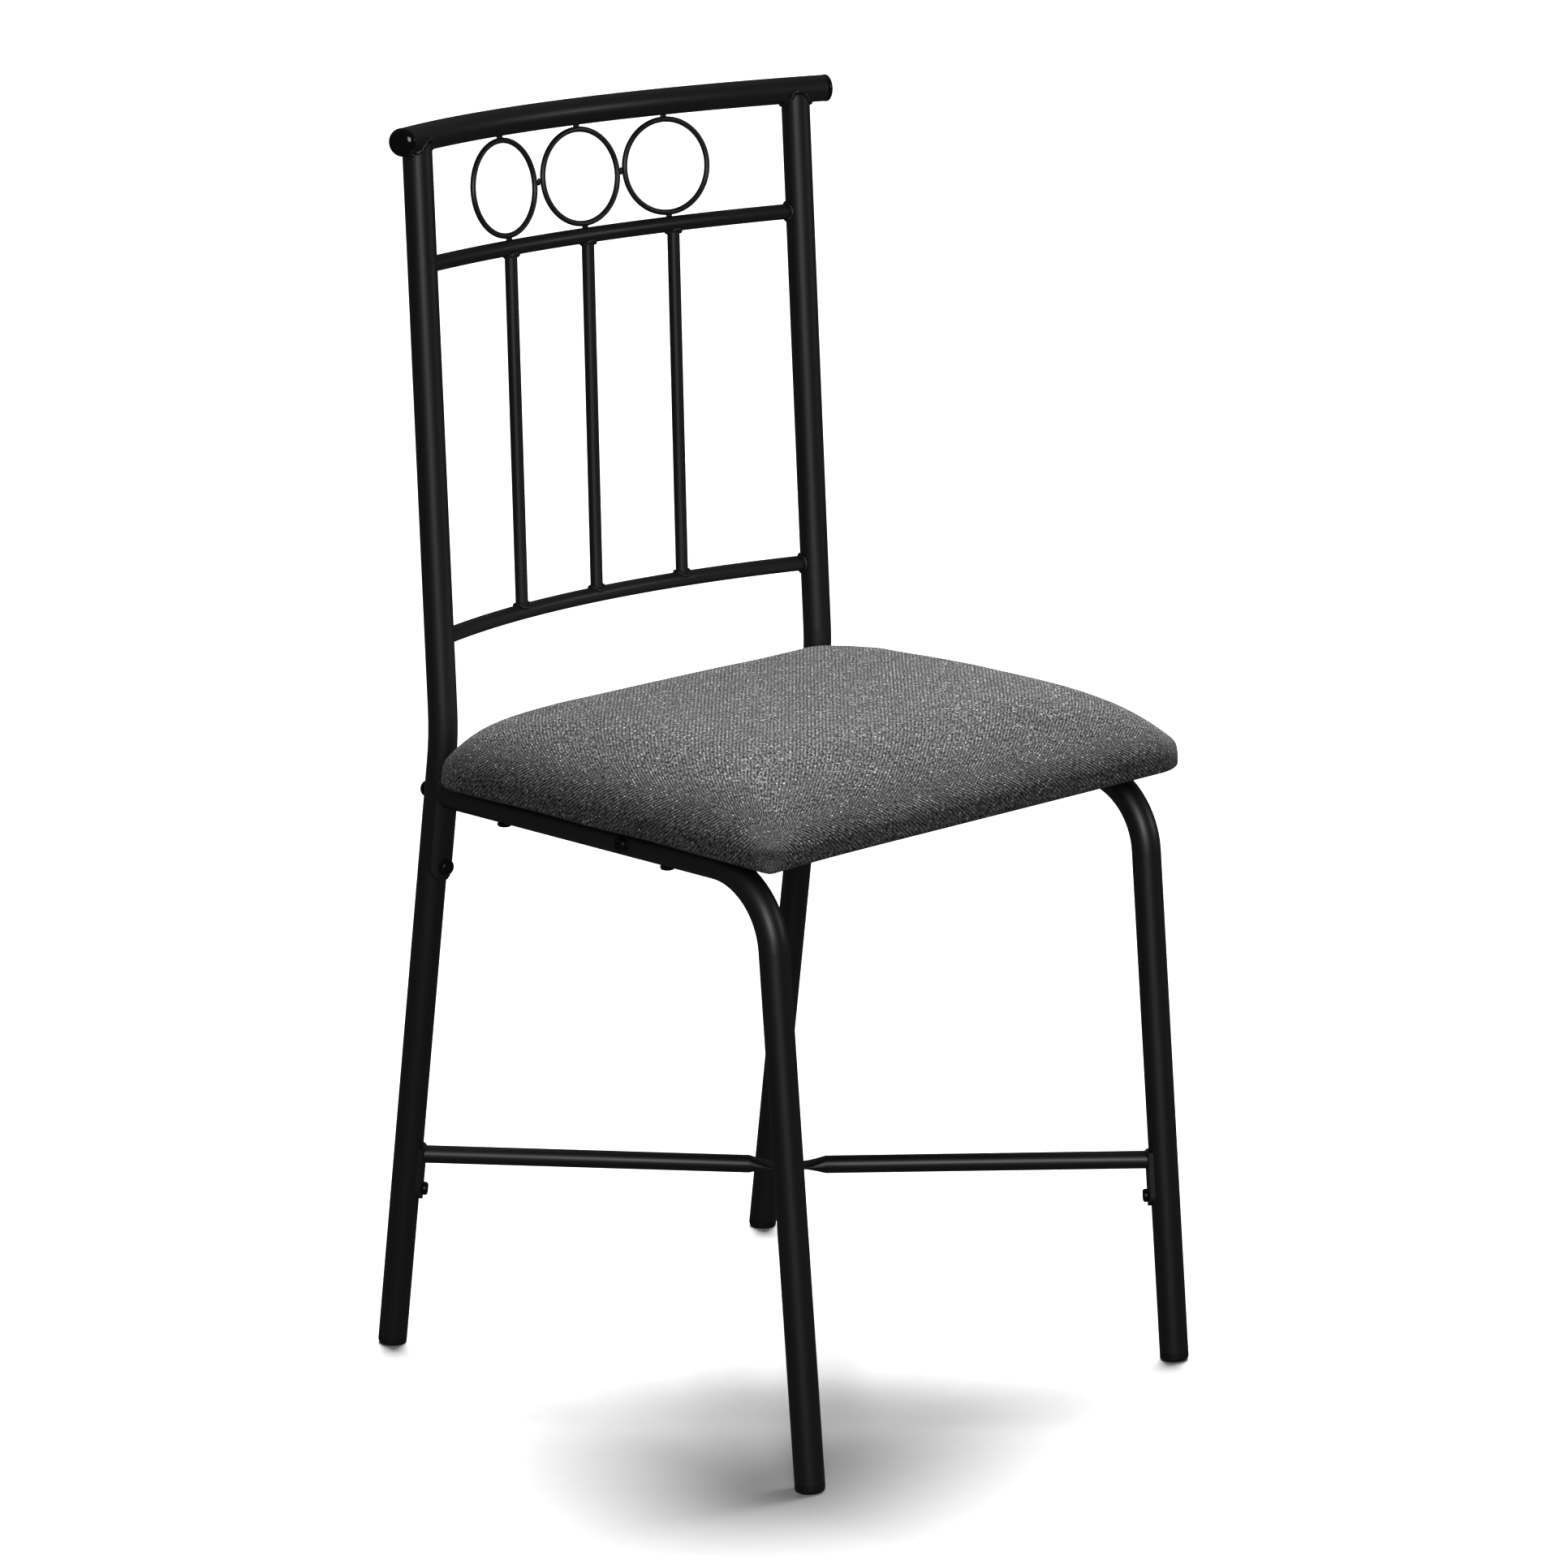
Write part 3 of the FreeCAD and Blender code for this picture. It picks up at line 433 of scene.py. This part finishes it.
# ---------------------------------------------------------------- metal frame
@dataclass
class MetalFrame:
    """Tubes, caps, glides and fasteners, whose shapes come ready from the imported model."""

    finishes: FinishSet
    slots: dict[str, str] = field(default_factory=dict)

    def dress(self) -> None:
        """Gives every ready-made node the finish of its slot."""
        for entry in frame["record"]["subparts"]:
            self.slots[entry["node"]] = entry["material_slot"]
        for name, node in frame["nodes"].items():
            material = self.finishes.get(Finish(self.slots[name]))
            if not node.material_slots:
                node.data.materials.append(material)
            for place in node.material_slots:
                place.material = material
            LOG.info("dressed %s with %s", name, material.name)


# ---------------------------------------------------------------- cushion
@dataclass
class Cushion:
    """Foam seat pad under stretched twill, tucked under a plywood board."""

    finishes: FinishSet
    near_corner: float = 14 * MM
    far_corner: float = 23 * MM
    rear_corner: float = 15 * MM
    foot_share: float = 1.15
    pleat_share: float = 0.3
    rear_fall: float = 4.5 * MM
    widest: float = 16 * MM
    crown: float = 38.5 * MM
    side_shoulder: float = 18 * MM
    front_shoulder: float = 27 * MM
    rear_shoulder: float = 10 * MM
    hem: float = 3.4 * MM
    side_lift: float = 0.6 * MM
    front_lift: float = 0.6 * MM
    wobble: float = 0.4 * MM
    tuck: float = 35 * MM
    swell_cap: float = 6 * MM
    slack: float = 1.6 * MM
    ease_reach: float = 36 * MM
    ease_rounds: int = 22
    smooth_rounds: int = 12
    steps: int = 20
    cells: tuple[int, int, int] = (72, 58, 9)

    def __post_init__(self) -> None:
        """Reads the pad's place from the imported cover."""
        self.low, self.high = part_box("seat_cover")
        self.half_w = (self.high.x - self.low.x) / 2
        self.half_d = (self.high.y - self.low.y) / 2
        self.mid_y = (self.high.y + self.low.y) / 2

    def rise(self, inset: float, shoulder: float) -> float:
        """Share of the crown reached at a distance in from an edge.

        Args:
            inset: distance from the edge, in metres.
            shoulder: how far in the pad's top takes to round over at that edge.
        Returns:
            From 0 at the edge to 1 well inside it.
        """
        return (1 - math.exp(-max(inset, 0.0) / shoulder)) ** 0.8

    def plan(self, s: float, t: float, inset: float, height: float) -> Vector:
        """Maps a point of a square onto the pad's outline with rounded corners.

        Args:
            s: from -1 at the left edge to 1 at the right.
            t: from -1 at the front edge to 1 at the rear.
            inset: how far the outline is drawn in.
            height: from 0 at the tucked edge, where corners are tightest, to 1.
        Returns:
            The point, with z at 0.
        """
        a, b = self.half_w - inset, self.half_d - inset
        full = self.rear_corner if t > 0 else (self.near_corner if s < 0 else self.far_corner)
        foot = full * (self.pleat_share if s < 0 and t < 0 else self.foot_share)
        r = foot + (full - foot) * min(1.0, height * 1.3)
        x, y = s * a, t * b
        inner = Vector((max(-a + r, min(a - r, x)), max(-b + r, min(b - r, y)), 0))
        off = Vector((x, y, 0)) - inner
        if off.length > 1e-9:
            off *= max(abs(off.x), abs(off.y)) / off.length
        return inner + off + Vector((0, self.mid_y, 0))

    def hang(self, s: float, t: float) -> float:
        """Finds how far the tucked edge lies above the underside of the board.

        Args:
            s: from -1 at the left edge to 1 at the right.
            t: from -1 at the front edge to 1 at the rear.
        Returns:
            Height of the edge over the underside of the board, in metres.
        """
        side = max(0.0, (abs(s) - 0.94) / 0.06) * max(0.0, 1 - abs(t) ** 3)
        front = max(0.0, (-t - 0.94) / 0.06) * max(0.0, 1 - abs(s + 0.25) ** 3)
        uneven = self.wobble * math.sin(9 * t + 2 * s) * min(1.0, side + front)
        return self.front_lift * front + self.side_lift * side + uneven

    def level(self, s: float, t: float, k: int) -> Vector:
        """Finds a vertex of the form.

        Args:
            s: from -1 at the left edge to 1 at the right.
            t: from -1 at the front edge to 1 at the rear.
            k: row, from 0 at the underside to the last at the top.
        Returns:
            The vertex.
        """
        h = k / self.cells[2]
        row = min(k / 3, 1.0)
        full = 0.9 * (s * t) ** 6 if s < 0 and t < 0 else 0.0
        point = self.plan(s, t, self.hem * (1 - row) ** 2 * (1 - full) + self.slack * h, h)
        if k == self.cells[2]:
            inset_x = self.half_w - self.slack - abs(point.x)
            inset_y = self.half_d - self.slack - abs(point.y - self.mid_y)
            ends = self.front_shoulder if point.y < self.mid_y else self.rear_shoulder
            crown = self.crown - self.rear_fall * max(0.0, (point.y - self.mid_y) / self.half_d)
            lift = crown * self.rise(inset_x, self.side_shoulder) * self.rise(inset_y, ends)
            point.z = self.low.z + self.widest + lift - self.slack
            return point
        rise = (self.widest - self.slack - 1.2 * MM) * h ** 1.15
        point.z = self.low.z + 0.05 * MM + rise + self.hang(s, t) * (1 - h) ** 2
        return point

    def form(self) -> bpy.types.Object:
        """Builds the closed pillow form that the cloth is stretched over.

        Returns:
            The form, a little smaller than the pad.
        """
        nx, ny, nz = self.cells
        verts: list[Vector] = []
        index: dict[tuple[int, int, int], int] = {}

        def corner(i: int, j: int, k: int) -> int:
            """Number of the form's vertex at a grid place, making it if it is new."""
            if (i, j, k) not in index:
                s, t = 2 * i / nx - 1, 2 * j / ny - 1
                s = math.sin(s * math.pi / 2) * 0.6 + s * 0.4
                t = math.sin(t * math.pi / 2) * 0.6 + t * 0.4
                index[i, j, k] = len(verts)
                verts.append(self.level(s, t, k))
            return index[i, j, k]

        faces = []
        for i in range(nx):
            for j in range(ny):
                faces.append([corner(i, j, nz), corner(i + 1, j, nz), corner(i + 1, j + 1, nz),
                              corner(i, j + 1, nz)])
                faces.append([corner(i, j, 0), corner(i, j + 1, 0), corner(i + 1, j + 1, 0),
                              corner(i + 1, j, 0)])
        for k in range(nz):
            for i in range(nx):
                faces.append([corner(i, 0, k), corner(i + 1, 0, k), corner(i + 1, 0, k + 1),
                              corner(i, 0, k + 1)])
                faces.append([corner(i + 1, ny, k), corner(i, ny, k), corner(i, ny, k + 1),
                              corner(i + 1, ny, k + 1)])
            for j in range(ny):
                faces.append([corner(0, j + 1, k), corner(0, j, k), corner(0, j, k + 1),
                              corner(0, j + 1, k + 1)])
                faces.append([corner(nx, j, k), corner(nx, j + 1, k), corner(nx, j + 1, k + 1),
                              corner(nx, j, k + 1)])
        return mesh_piece("seat_cushion", verts, faces, self.finishes.get(Finish.CLOTH))

    def inflate(self, pad: bpy.types.Object) -> None:
        """Stretches the cloth over the form with a short pressure simulation.

        Args:
            pad: the form, which becomes the swollen pad.
        """
        scene = bpy.context.scene
        start = np.array([v.co for v in pad.data.vertices])
        normal = np.array([v.normal for v in pad.data.vertices])
        free = np.clip((start[:, 2] - self.low.z - 6 * MM) / (10 * MM), 0, 1)
        held = pad.vertex_groups.new(name="tacked")
        held.add([int(i) for i in np.nonzero(free < 0.05)[0]], 1.0, "REPLACE")
        cloth = pad.modifiers.new("stretch", "CLOTH")
        cloth.settings.vertex_group_mass = "tacked"
        cloth.settings.quality = 6
        cloth.settings.mass = 0.3
        cloth.settings.tension_stiffness = 15
        cloth.settings.compression_stiffness = 15
        cloth.settings.bending_stiffness = 6.0
        cloth.settings.use_pressure = True
        cloth.settings.uniform_pressure_force = 4
        cloth.settings.effector_weights.gravity = 0
        cloth.point_cache.frame_start = 1
        cloth.point_cache.frame_end = self.steps
        for step in range(1, self.steps + 1):
            scene.frame_set(step)
        shape = pad.evaluated_get(bpy.context.evaluated_depsgraph_get())
        end = np.array([v.co for v in shape.data.vertices])
        pad.modifiers.remove(cloth)
        pad.vertex_groups.remove(held)
        scene.frame_set(1)
        swell = np.clip(((end - start) * normal).sum(1), 0, self.swell_cap) * free
        LOG.info("cloth swelled %.1f mm at most, %.1f mm on average", swell.max() / MM, swell.mean() / MM)
        edges = np.array([e.vertices[:] for e in pad.data.edges])
        count = np.bincount(edges.ravel(), minlength=len(swell))
        for _ in range(self.smooth_rounds):
            total = np.bincount(edges[:, 0], swell[edges[:, 1]], len(swell))
            total += np.bincount(edges[:, 1], swell[edges[:, 0]], len(swell))
            swell = (0.5 * swell + 0.5 * total / count) * np.minimum(1, free * 4)
        pad.data.vertices.foreach_set("co", (start + normal * swell[:, None]).astype(np.float32).ravel())
        pad.data.update()

    def ease_corners(self, pad: bpy.types.Object) -> None:
        """Rounds the cloth over at the four corners, where it is pulled tight over the foam.

        Args:
            pad: the swollen pad.
        """
        points = np.array([v.co for v in pad.data.vertices])
        edges = np.array([e.vertices[:] for e in pad.data.edges])
        count = np.bincount(edges.ravel(), minlength=len(points))[:, None]
        reach = np.hypot(self.half_w - np.abs(points[:, 0]), self.half_d - np.abs(points[:, 1] - self.mid_y))
        near = np.clip(1.5 - reach / self.ease_reach, 0, 1)
        above = np.clip((points[:, 2] - self.low.z - 3 * MM) / (9 * MM), 0, 1)
        share = (0.6 * near * above)[:, None]
        for _ in range(self.ease_rounds):
            total = np.zeros_like(points)
            np.add.at(total, edges[:, 0], points[edges[:, 1]])
            np.add.at(total, edges[:, 1], points[edges[:, 0]])
            points = points + share * (total / count - points)
        pad.data.vertices.foreach_set("co", points.astype(np.float32).ravel())
        pad.data.update()

    def fold(self, pad: bpy.types.Object) -> None:
        """Sinks the opening inside the tucked cloth, so that its hem shows round it.

        Args:
            pad: the swollen pad.
        """
        for v in pad.data.vertices:
            over = v.co.z - self.low.z
            x, y = abs(v.co.x), abs(v.co.y - self.mid_y)
            if over < 0.6 * MM and min(self.half_w - x, self.half_d - y) > self.tuck + 1 * MM:
                v.co.z = self.low.z + 1.35 * MM

    def lay_cloth(self, pad: bpy.types.Object) -> None:
        """Writes the cloth's own coordinates, which run over the top and down the sides.

        Args:
            pad: the finished pad.
        """
        mesh = pad.data
        layer = mesh.uv_layers.new(name="cloth")
        top = self.low.z + self.widest + self.crown
        normals = np.array([v.normal for v in mesh.vertices])
        points = np.array([v.co for v in mesh.vertices])
        outward = normals[:, :2].copy()
        size = np.linalg.norm(outward, axis=1, keepdims=True)
        outward = outward / np.maximum(size, 1e-6) * np.minimum(size * 1.4, 1.0)
        drop = (top - points[:, 2])[:, None]
        flat = points[:, :2] + outward * drop
        for loop in mesh.loops:
            layer.data[loop.index].uv = flat[loop.vertex_index]

    def build(self) -> bpy.types.Object:
        """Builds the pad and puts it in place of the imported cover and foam.

        Returns:
            The pad.
        """
        pad = self.form()
        self.inflate(pad)
        bpy.context.view_layer.objects.active = pad
        fine = pad.modifiers.new("fine", "SUBSURF")
        fine.levels = fine.render_levels = 1
        bpy.ops.object.modifier_apply(modifier=fine.name)
        self.ease_corners(pad)
        self.fold(pad)
        pad.data.shade_smooth()
        self.lay_cloth(pad)
        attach(pad, "root")
        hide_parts("seat_cover", "seat_foam")
        points = np.array([v.co for v in pad.data.vertices])
        LOG.info("cushion from %s to %s", points.min(0).round(4), points.max(0).round(4))
        return pad


@dataclass
class Lining:
    """Thin lining stretched over the opening under the seat."""

    finishes: FinishSet
    cell: float = 6 * MM

    def build(self) -> bpy.types.Object:
        """Builds the lining as a thin sheet with shallow puckers at its edge.

        Returns:
            The lining.
        """
        low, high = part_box("dust_cover")
        nx = round((high.x - low.x) / self.cell)
        ny = round((high.y - low.y) / self.cell)
        verts, faces = [], []
        for j in range(ny + 1):
            for i in range(nx + 1):
                x = low.x + (high.x - low.x) * i / nx
                y = low.y + (high.y - low.y) * j / ny
                edge = min(i, nx - i, j, ny - j) * self.cell
                pucker = math.sin(x * 260) * math.sin(y * 260) * 0.25 * MM * math.exp(-edge / 0.02)
                verts.append((x, y, low.z + 0.1 * MM + abs(pucker)))
        for j in range(ny):
            for i in range(nx):
                a = j * (nx + 1) + i
                faces.append((a, a + nx + 1, a + nx + 2, a + 1))
        piece = mesh_piece("seat_lining", verts, faces, self.finishes.get(Finish.LINING))
        thick = piece.modifiers.new("thick", "SOLIDIFY")
        thick.thickness = 0.35 * MM
        thick.offset = -1
        bpy.context.view_layer.objects.active = piece
        bpy.ops.object.modifier_apply(modifier=thick.name)
        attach(piece, "root")
        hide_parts("dust_cover")
        LOG.info("lining %.0f by %.0f mm", (high.x - low.x) / MM, (high.y - low.y) / MM)
        return piece


# ---------------------------------------------------------------- welds
@dataclass
class Rod:
    """A straight or locally straight tube: a point on its axis, its direction and its radius."""

    point: Vector
    way: Vector
    radius: float

    @staticmethod
    def ring(node: str, place: Vector, normal: Vector) -> list[Vector]:
        """Cuts a ready-made node with a plane.

        Args:
            node: name of the node.
            place: a point of the plane, near the cut that is wanted.
            normal: the plane's normal.
        Returns:
            The cut's points.
        """
        bm = bmesh.new()
        bm.from_mesh(frame["nodes"][node].data)
        parts = bm.verts[:] + bm.edges[:] + bm.faces[:]
        made = bmesh.ops.bisect_plane(bm, geom=parts, plane_co=place, plane_no=normal)["geom_cut"]
        points = [v.co.copy() for v in made if isinstance(v, bmesh.types.BMVert)]
        bm.free()
        return [p for p in points if (p - place).length < 60 * MM]

    @classmethod
    def read(cls, node: str, first: Vector, second: Vector, normal: Vector, extra: float = 0.0) -> "Rod":
        """Reads a tube's axis and radius between two parallel cuts.

        Args:
            node: name of the node.
            first: a point of the first cut.
            second: a point of the second cut.
            normal: the normal of both cuts.
            extra: added to the radius.
        Returns:
            The tube, pointing from the first cut to the second.
        """
        middles, rings = [], []
        for place in (first, second):
            ring = cls.ring(node, place, normal)
            low = Vector([min(p[i] for p in ring) for i in range(3)])
            high = Vector([max(p[i] for p in ring) for i in range(3)])
            middles.append((low + high) / 2)
            rings.append(ring)
        way = (middles[1] - middles[0]).normalized()
        offs = [p - middles[1] for p in rings[1]]
        return cls(middles[1], way, max((o - way * o.dot(way)).length for o in offs) + extra)


@dataclass
class Welds:
    """Fillet welds and tacks at the joints of the frame, under the same coat."""

    finishes: FinishSet
    bead: float = 1.5 * MM
    pitch: float = 2.4 * MM
    made: list[bpy.types.Object] = field(default_factory=list)

    def run(self, name: str, path: Sequence[Vector], radius: float, closed: bool = True) -> None:
        """Lays a rippled bead along a path.

        Args:
            name: name of the bead.
            path: points of its centre line.
            radius: half its width.
            closed: whether its ends meet.
        """
        sides = 10
        count = len(path)
        verts, faces = [], []
        length = 0.0
        for i, point in enumerate(path):
            before = path[i - 1] if closed or i else point
            after = path[(i + 1) % count] if closed or i < count - 1 else point
            along = (after - before).normalized()
            side = along.orthogonal().normalized()
            up = along.cross(side)
            length += (point - path[i - 1]).length if i else 0.0
            ripple = 1 + 0.13 * math.sin(2 * math.pi * length / self.pitch)
            size = radius * ripple
            if not closed:
                size *= max(0.15, math.sin(math.pi * (i + 0.5) / count)) ** 0.5
            for k in range(sides):
                a = 2 * math.pi * k / sides
                verts.append(point + (side * math.cos(a) + up * math.sin(a)) * size)
        rows = count if closed else count - 1
        for i in range(rows):
            for k in range(sides):
                a, b = i * sides, ((i + 1) % count) * sides
                faces.append((a + k, a + (k + 1) % sides, b + (k + 1) % sides, b + k))
        if not closed:
            faces.append(tuple(reversed(range(sides))))
            faces.append(tuple(range((count - 1) * sides, count * sides)))
        piece = mesh_piece(name, verts, faces, self.finishes.get(Finish.FRAME))
        bm = bmesh.new()
        bm.from_mesh(piece.data)
        bmesh.ops.recalc_face_normals(bm, faces=bm.faces)
        bm.to_mesh(piece.data)
        bm.free()
        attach(piece, "root")
        self.made.append(piece)

    def saddle(self, name: str, branch: Rod, trunk: Rod) -> None:
        """Lays a bead where a branch tube meets the side of a trunk tube.

        Args:
            name: name of the bead.
            branch: the tube that ends; its direction points at the trunk.
            trunk: the tube that it ends on.
        """
        way, axis = branch.way.normalized(), trunk.way.normalized()
        side = way.orthogonal().normalized()
        up = way.cross(side)
        path = []
        for k in range(48):
            a = 2 * math.pi * k / 48
            outward = side * math.cos(a) + up * math.sin(a)
            start = branch.point + outward * (branch.radius + 0.35 * self.bead)
            gap = start - trunk.point
            d = way - axis * way.dot(axis)
            m = gap - axis * gap.dot(axis)
            qa, qb, qc = d.dot(d), 2 * m.dot(d), m.dot(m) - (trunk.radius + 0.25 * self.bead) ** 2
            root = qb * qb - 4 * qa * qc
            step = (-qb - math.sqrt(max(root, 0.0))) / (2 * qa)
            path.append(start + way * step)
        self.run(name, path, self.bead)

    def tack(self, name: str, middle: Vector, along: Vector, half: float) -> None:
        """Lays one short tack.

        Args:
            name: name of the tack.
            middle: its middle.
            along: its direction.
            half: half its length.
        """
        self.run(name, [middle + along * (half * k / 5) for k in range(-5, 6)], self.bead * 0.9, closed=False)

    def rails(self) -> None:
        """Welds the three back rails to the two posts."""
        up, across = Vector((0, 0, 1)), Vector((1, 0, 0))
        for side, name in ((-1, "left"), (1, "right")):
            for rail in ("middle_back_rail", "lower_back_rail"):
                low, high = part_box(rail)
                z = (low.z + high.z) / 2
                end = Vector((side * high.x, low.y + 6 * MM, z))
                post = Rod.read(f"rear_post_{name}", end - up * 0.02, end + up * 0.02, up)
                branch = Rod.read(rail, end - across * side * 0.022, end - across * side * 0.012, across)
                self.saddle(f"weld_{rail}_{name}", branch, post)
            low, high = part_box("top_rail")
            x = side * (high.x - 22 * MM)
            top = Vector((x, low.y + 12 * MM, (low.z + high.z) / 2))
            post = Rod.read(f"rear_post_{name}", top - up * 0.05, top - up * 0.03, up)
            trunk = Rod.read("top_rail", top - across * 8 * MM, top + across * 8 * MM, across)
            self.saddle(f"weld_top_rail_{name}", post, trunk)

    def spindles(self) -> None:
        """Welds the spindles to the two slim rails."""
        up, across = Vector((0, 0, 1)), Vector((1, 0, 0))
        for name in ("left", "centre", "right"):
            low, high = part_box(f"spindle_{name}")
            middle = (low + high) / 2
            for rail, way, end in (("middle_back_rail", 1, high.z), ("lower_back_rail", -1, low.z)):
                near = Vector((middle.x, middle.y, end - way * 15 * MM))
                branch = Rod.read(f"spindle_{name}", near - up * way * 0.01, near, up)
                foot = branch.point + branch.way * 20 * MM
                trunk = Rod.read(rail, foot - across * 5 * MM, foot + across * 5 * MM, across)
                self.saddle(f"weld_spindle_{name}_{rail}", branch, trunk)

    def rings(self) -> None:
        """Tacks the rings to the rails above and below them, and to each other."""
        across, up = Vector((1, 0, 0)), Vector((0, 0, 1))
        edges = []
        for name in ("left", "centre", "right"):
            points = [v.co for v in frame["nodes"][f"ring_{name}"].data.vertices]
            top, low = max(points, key=lambda p: p.z), min(points, key=lambda p: p.z)
            self.tack(f"tack_ring_{name}_top", top + up * 0.45 * MM, across, 2.6 * MM)
            self.tack(f"tack_ring_{name}_low", low - up * 0.45 * MM, across, 2.6 * MM)
            edges.append((min(points, key=lambda p: p.x), max(points, key=lambda p: p.x)))
        for k, name in enumerate(("left", "right")):
            middle = (edges[k][1] + edges[k + 1][0]) / 2
            self.tack(f"tack_rings_{name}", middle, up, 2.6 * MM)

    def build(self) -> None:
        """Lays every weld of the back and reports how many there are."""
        self.rails()
        self.spindles()
        self.rings()
        LOG.info("laid %d welds and tacks", len(self.made))


@dataclass
class Studio:
    """Floor, light and camera."""

    azimuth: float = -44.880
    elevation: float = 14.163
    distance: float = 4.05105
    target: tuple[float, float, float] = (0.0, -0.0008, 0.4153)
    lens: float = 133.885
    surround: float = 0.05
    overhead: float = 7.4
    overhead_angle: float = 42.0
    overhead_way: tuple[float, float, float] = (-0.34, -0.30, -0.9)
    floor_half: float = 30.0

    def floor(self) -> None:
        """Lays a pale sheet of backdrop paper under the chair."""
        material, tree = new_material("backdrop_paper")
        place = add(tree, "TexCoord").outputs["Object"]
        fibre = add(tree, "TexNoise", {"Scale": 60.0, "Detail": 3.0}, {"Vector": place})
        colour = add(tree, "Mix", {"data_type": "RGBA", 6: linear("#f0f0f0"), 7: linear("#f5f5f5")},
                     {0: fibre.outputs["Fac"]})
        shader = add(tree, "BsdfPrincipled", {"Roughness": 0.9, "Specular IOR Level": 0.1},
                     {"Base Color": colour.outputs[2]})
        add(tree, "OutputMaterial", {}, {"Surface": shader.outputs[0]})
        size = self.floor_half
        verts = [(-size, -size, 0), (size, -size, 0), (size, size, 0), (-size, size, 0)]
        sheet = mesh_piece("floor", verts, [(0, 1, 2, 3)], material, smooth=False)
        sheet.location.z = -0.2 * MM
        # the paper is lit and takes shadows, but throws no light back up at the seat and tubes
        sheet.visible_diffuse = sheet.visible_glossy = False

    def softbox(self, name: str, place: Vector, size: float, watts: float) -> None:
        """Hangs one soft lamp that faces the chair.

        Args:
            name: name of the lamp.
            place: where it hangs.
            size: width of its square face.
            watts: its power.
        """
        data = bpy.data.lights.new(name, "AREA")
        data.shape = "SQUARE"
        data.size = size
        data.energy = watts
        lamp = bpy.data.objects.new(name, data)
        lamp.location = place
        lamp.rotation_euler = (Vector((0, 0, 0.5)) - place).to_track_quat("-Z", "Y").to_euler()
        bpy.context.scene.collection.objects.link(lamp)

    def lights(self) -> None:
        """Sets a dim surround, a broad light from above and behind, and boxes for the tubes' sheen."""
        world = bpy.data.worlds.new("surround")
        world.use_nodes = True
        world.node_tree.nodes["Background"].inputs["Color"].default_value = (1, 1, 1, 1)
        world.node_tree.nodes["Background"].inputs["Strength"].default_value = self.surround
        bpy.context.scene.world = world
        data = bpy.data.lights.new("overhead", "SUN")
        data.energy = self.overhead
        data.angle = math.radians(self.overhead_angle)
        lamp = bpy.data.objects.new("overhead", data)
        lamp.visible_glossy = False  # the boxes alone draw the highlights on the tubes
        lamp.rotation_euler = Vector(self.overhead_way).to_track_quat("-Z", "Y").to_euler()
        bpy.context.scene.collection.objects.link(lamp)
        self.softbox("front_box", Vector((-2.9, -3.1, 1.9)), 1.5, 48)
        self.softbox("side_box", Vector((2.6, -2.6, 1.6)), 0.8, 8)

    def tone(self) -> None:
        """Shows colours as they are, with no film curve, so the white floor stays white."""
        bpy.context.scene.view_settings.view_transform = "Standard"
        bpy.context.scene.view_settings.look = "None"

    def camera(self) -> None:
        """Sets the camera on the line that the azimuth and elevation give."""
        a, e = math.radians(self.azimuth), math.radians(self.elevation)
        back = Vector((math.sin(a) * math.cos(e), -math.cos(a) * math.cos(e), math.sin(e)))
        data = bpy.data.cameras.new("camera")
        data.lens = self.lens
        data.sensor_width = 36.0
        data.clip_start, data.clip_end = 0.05, 100.0
        camera = bpy.data.objects.new("camera", data)
        camera.location = Vector(self.target) + back * self.distance
        camera.rotation_mode = "QUATERNION"
        camera.rotation_quaternion = (-back).to_track_quat("-Z", "Y")
        bpy.context.scene.collection.objects.link(camera)
        bpy.context.scene.camera = camera

    def build(self) -> None:
        """Builds the whole studio."""
        self.floor()
        self.lights()
        self.tone()
        self.camera()


def main() -> None:
    """Builds the chair's looks in order and reports each piece."""
    logging.basicConfig(level=logging.INFO, format="%(name)s: %(message)s")
    finishes = FinishSet()
    MetalFrame(finishes).dress()
    Cushion(finishes).build()
    Lining(finishes).build()
    Welds(finishes).build()
    Studio().build()


if __name__ == "__main__":
    main()
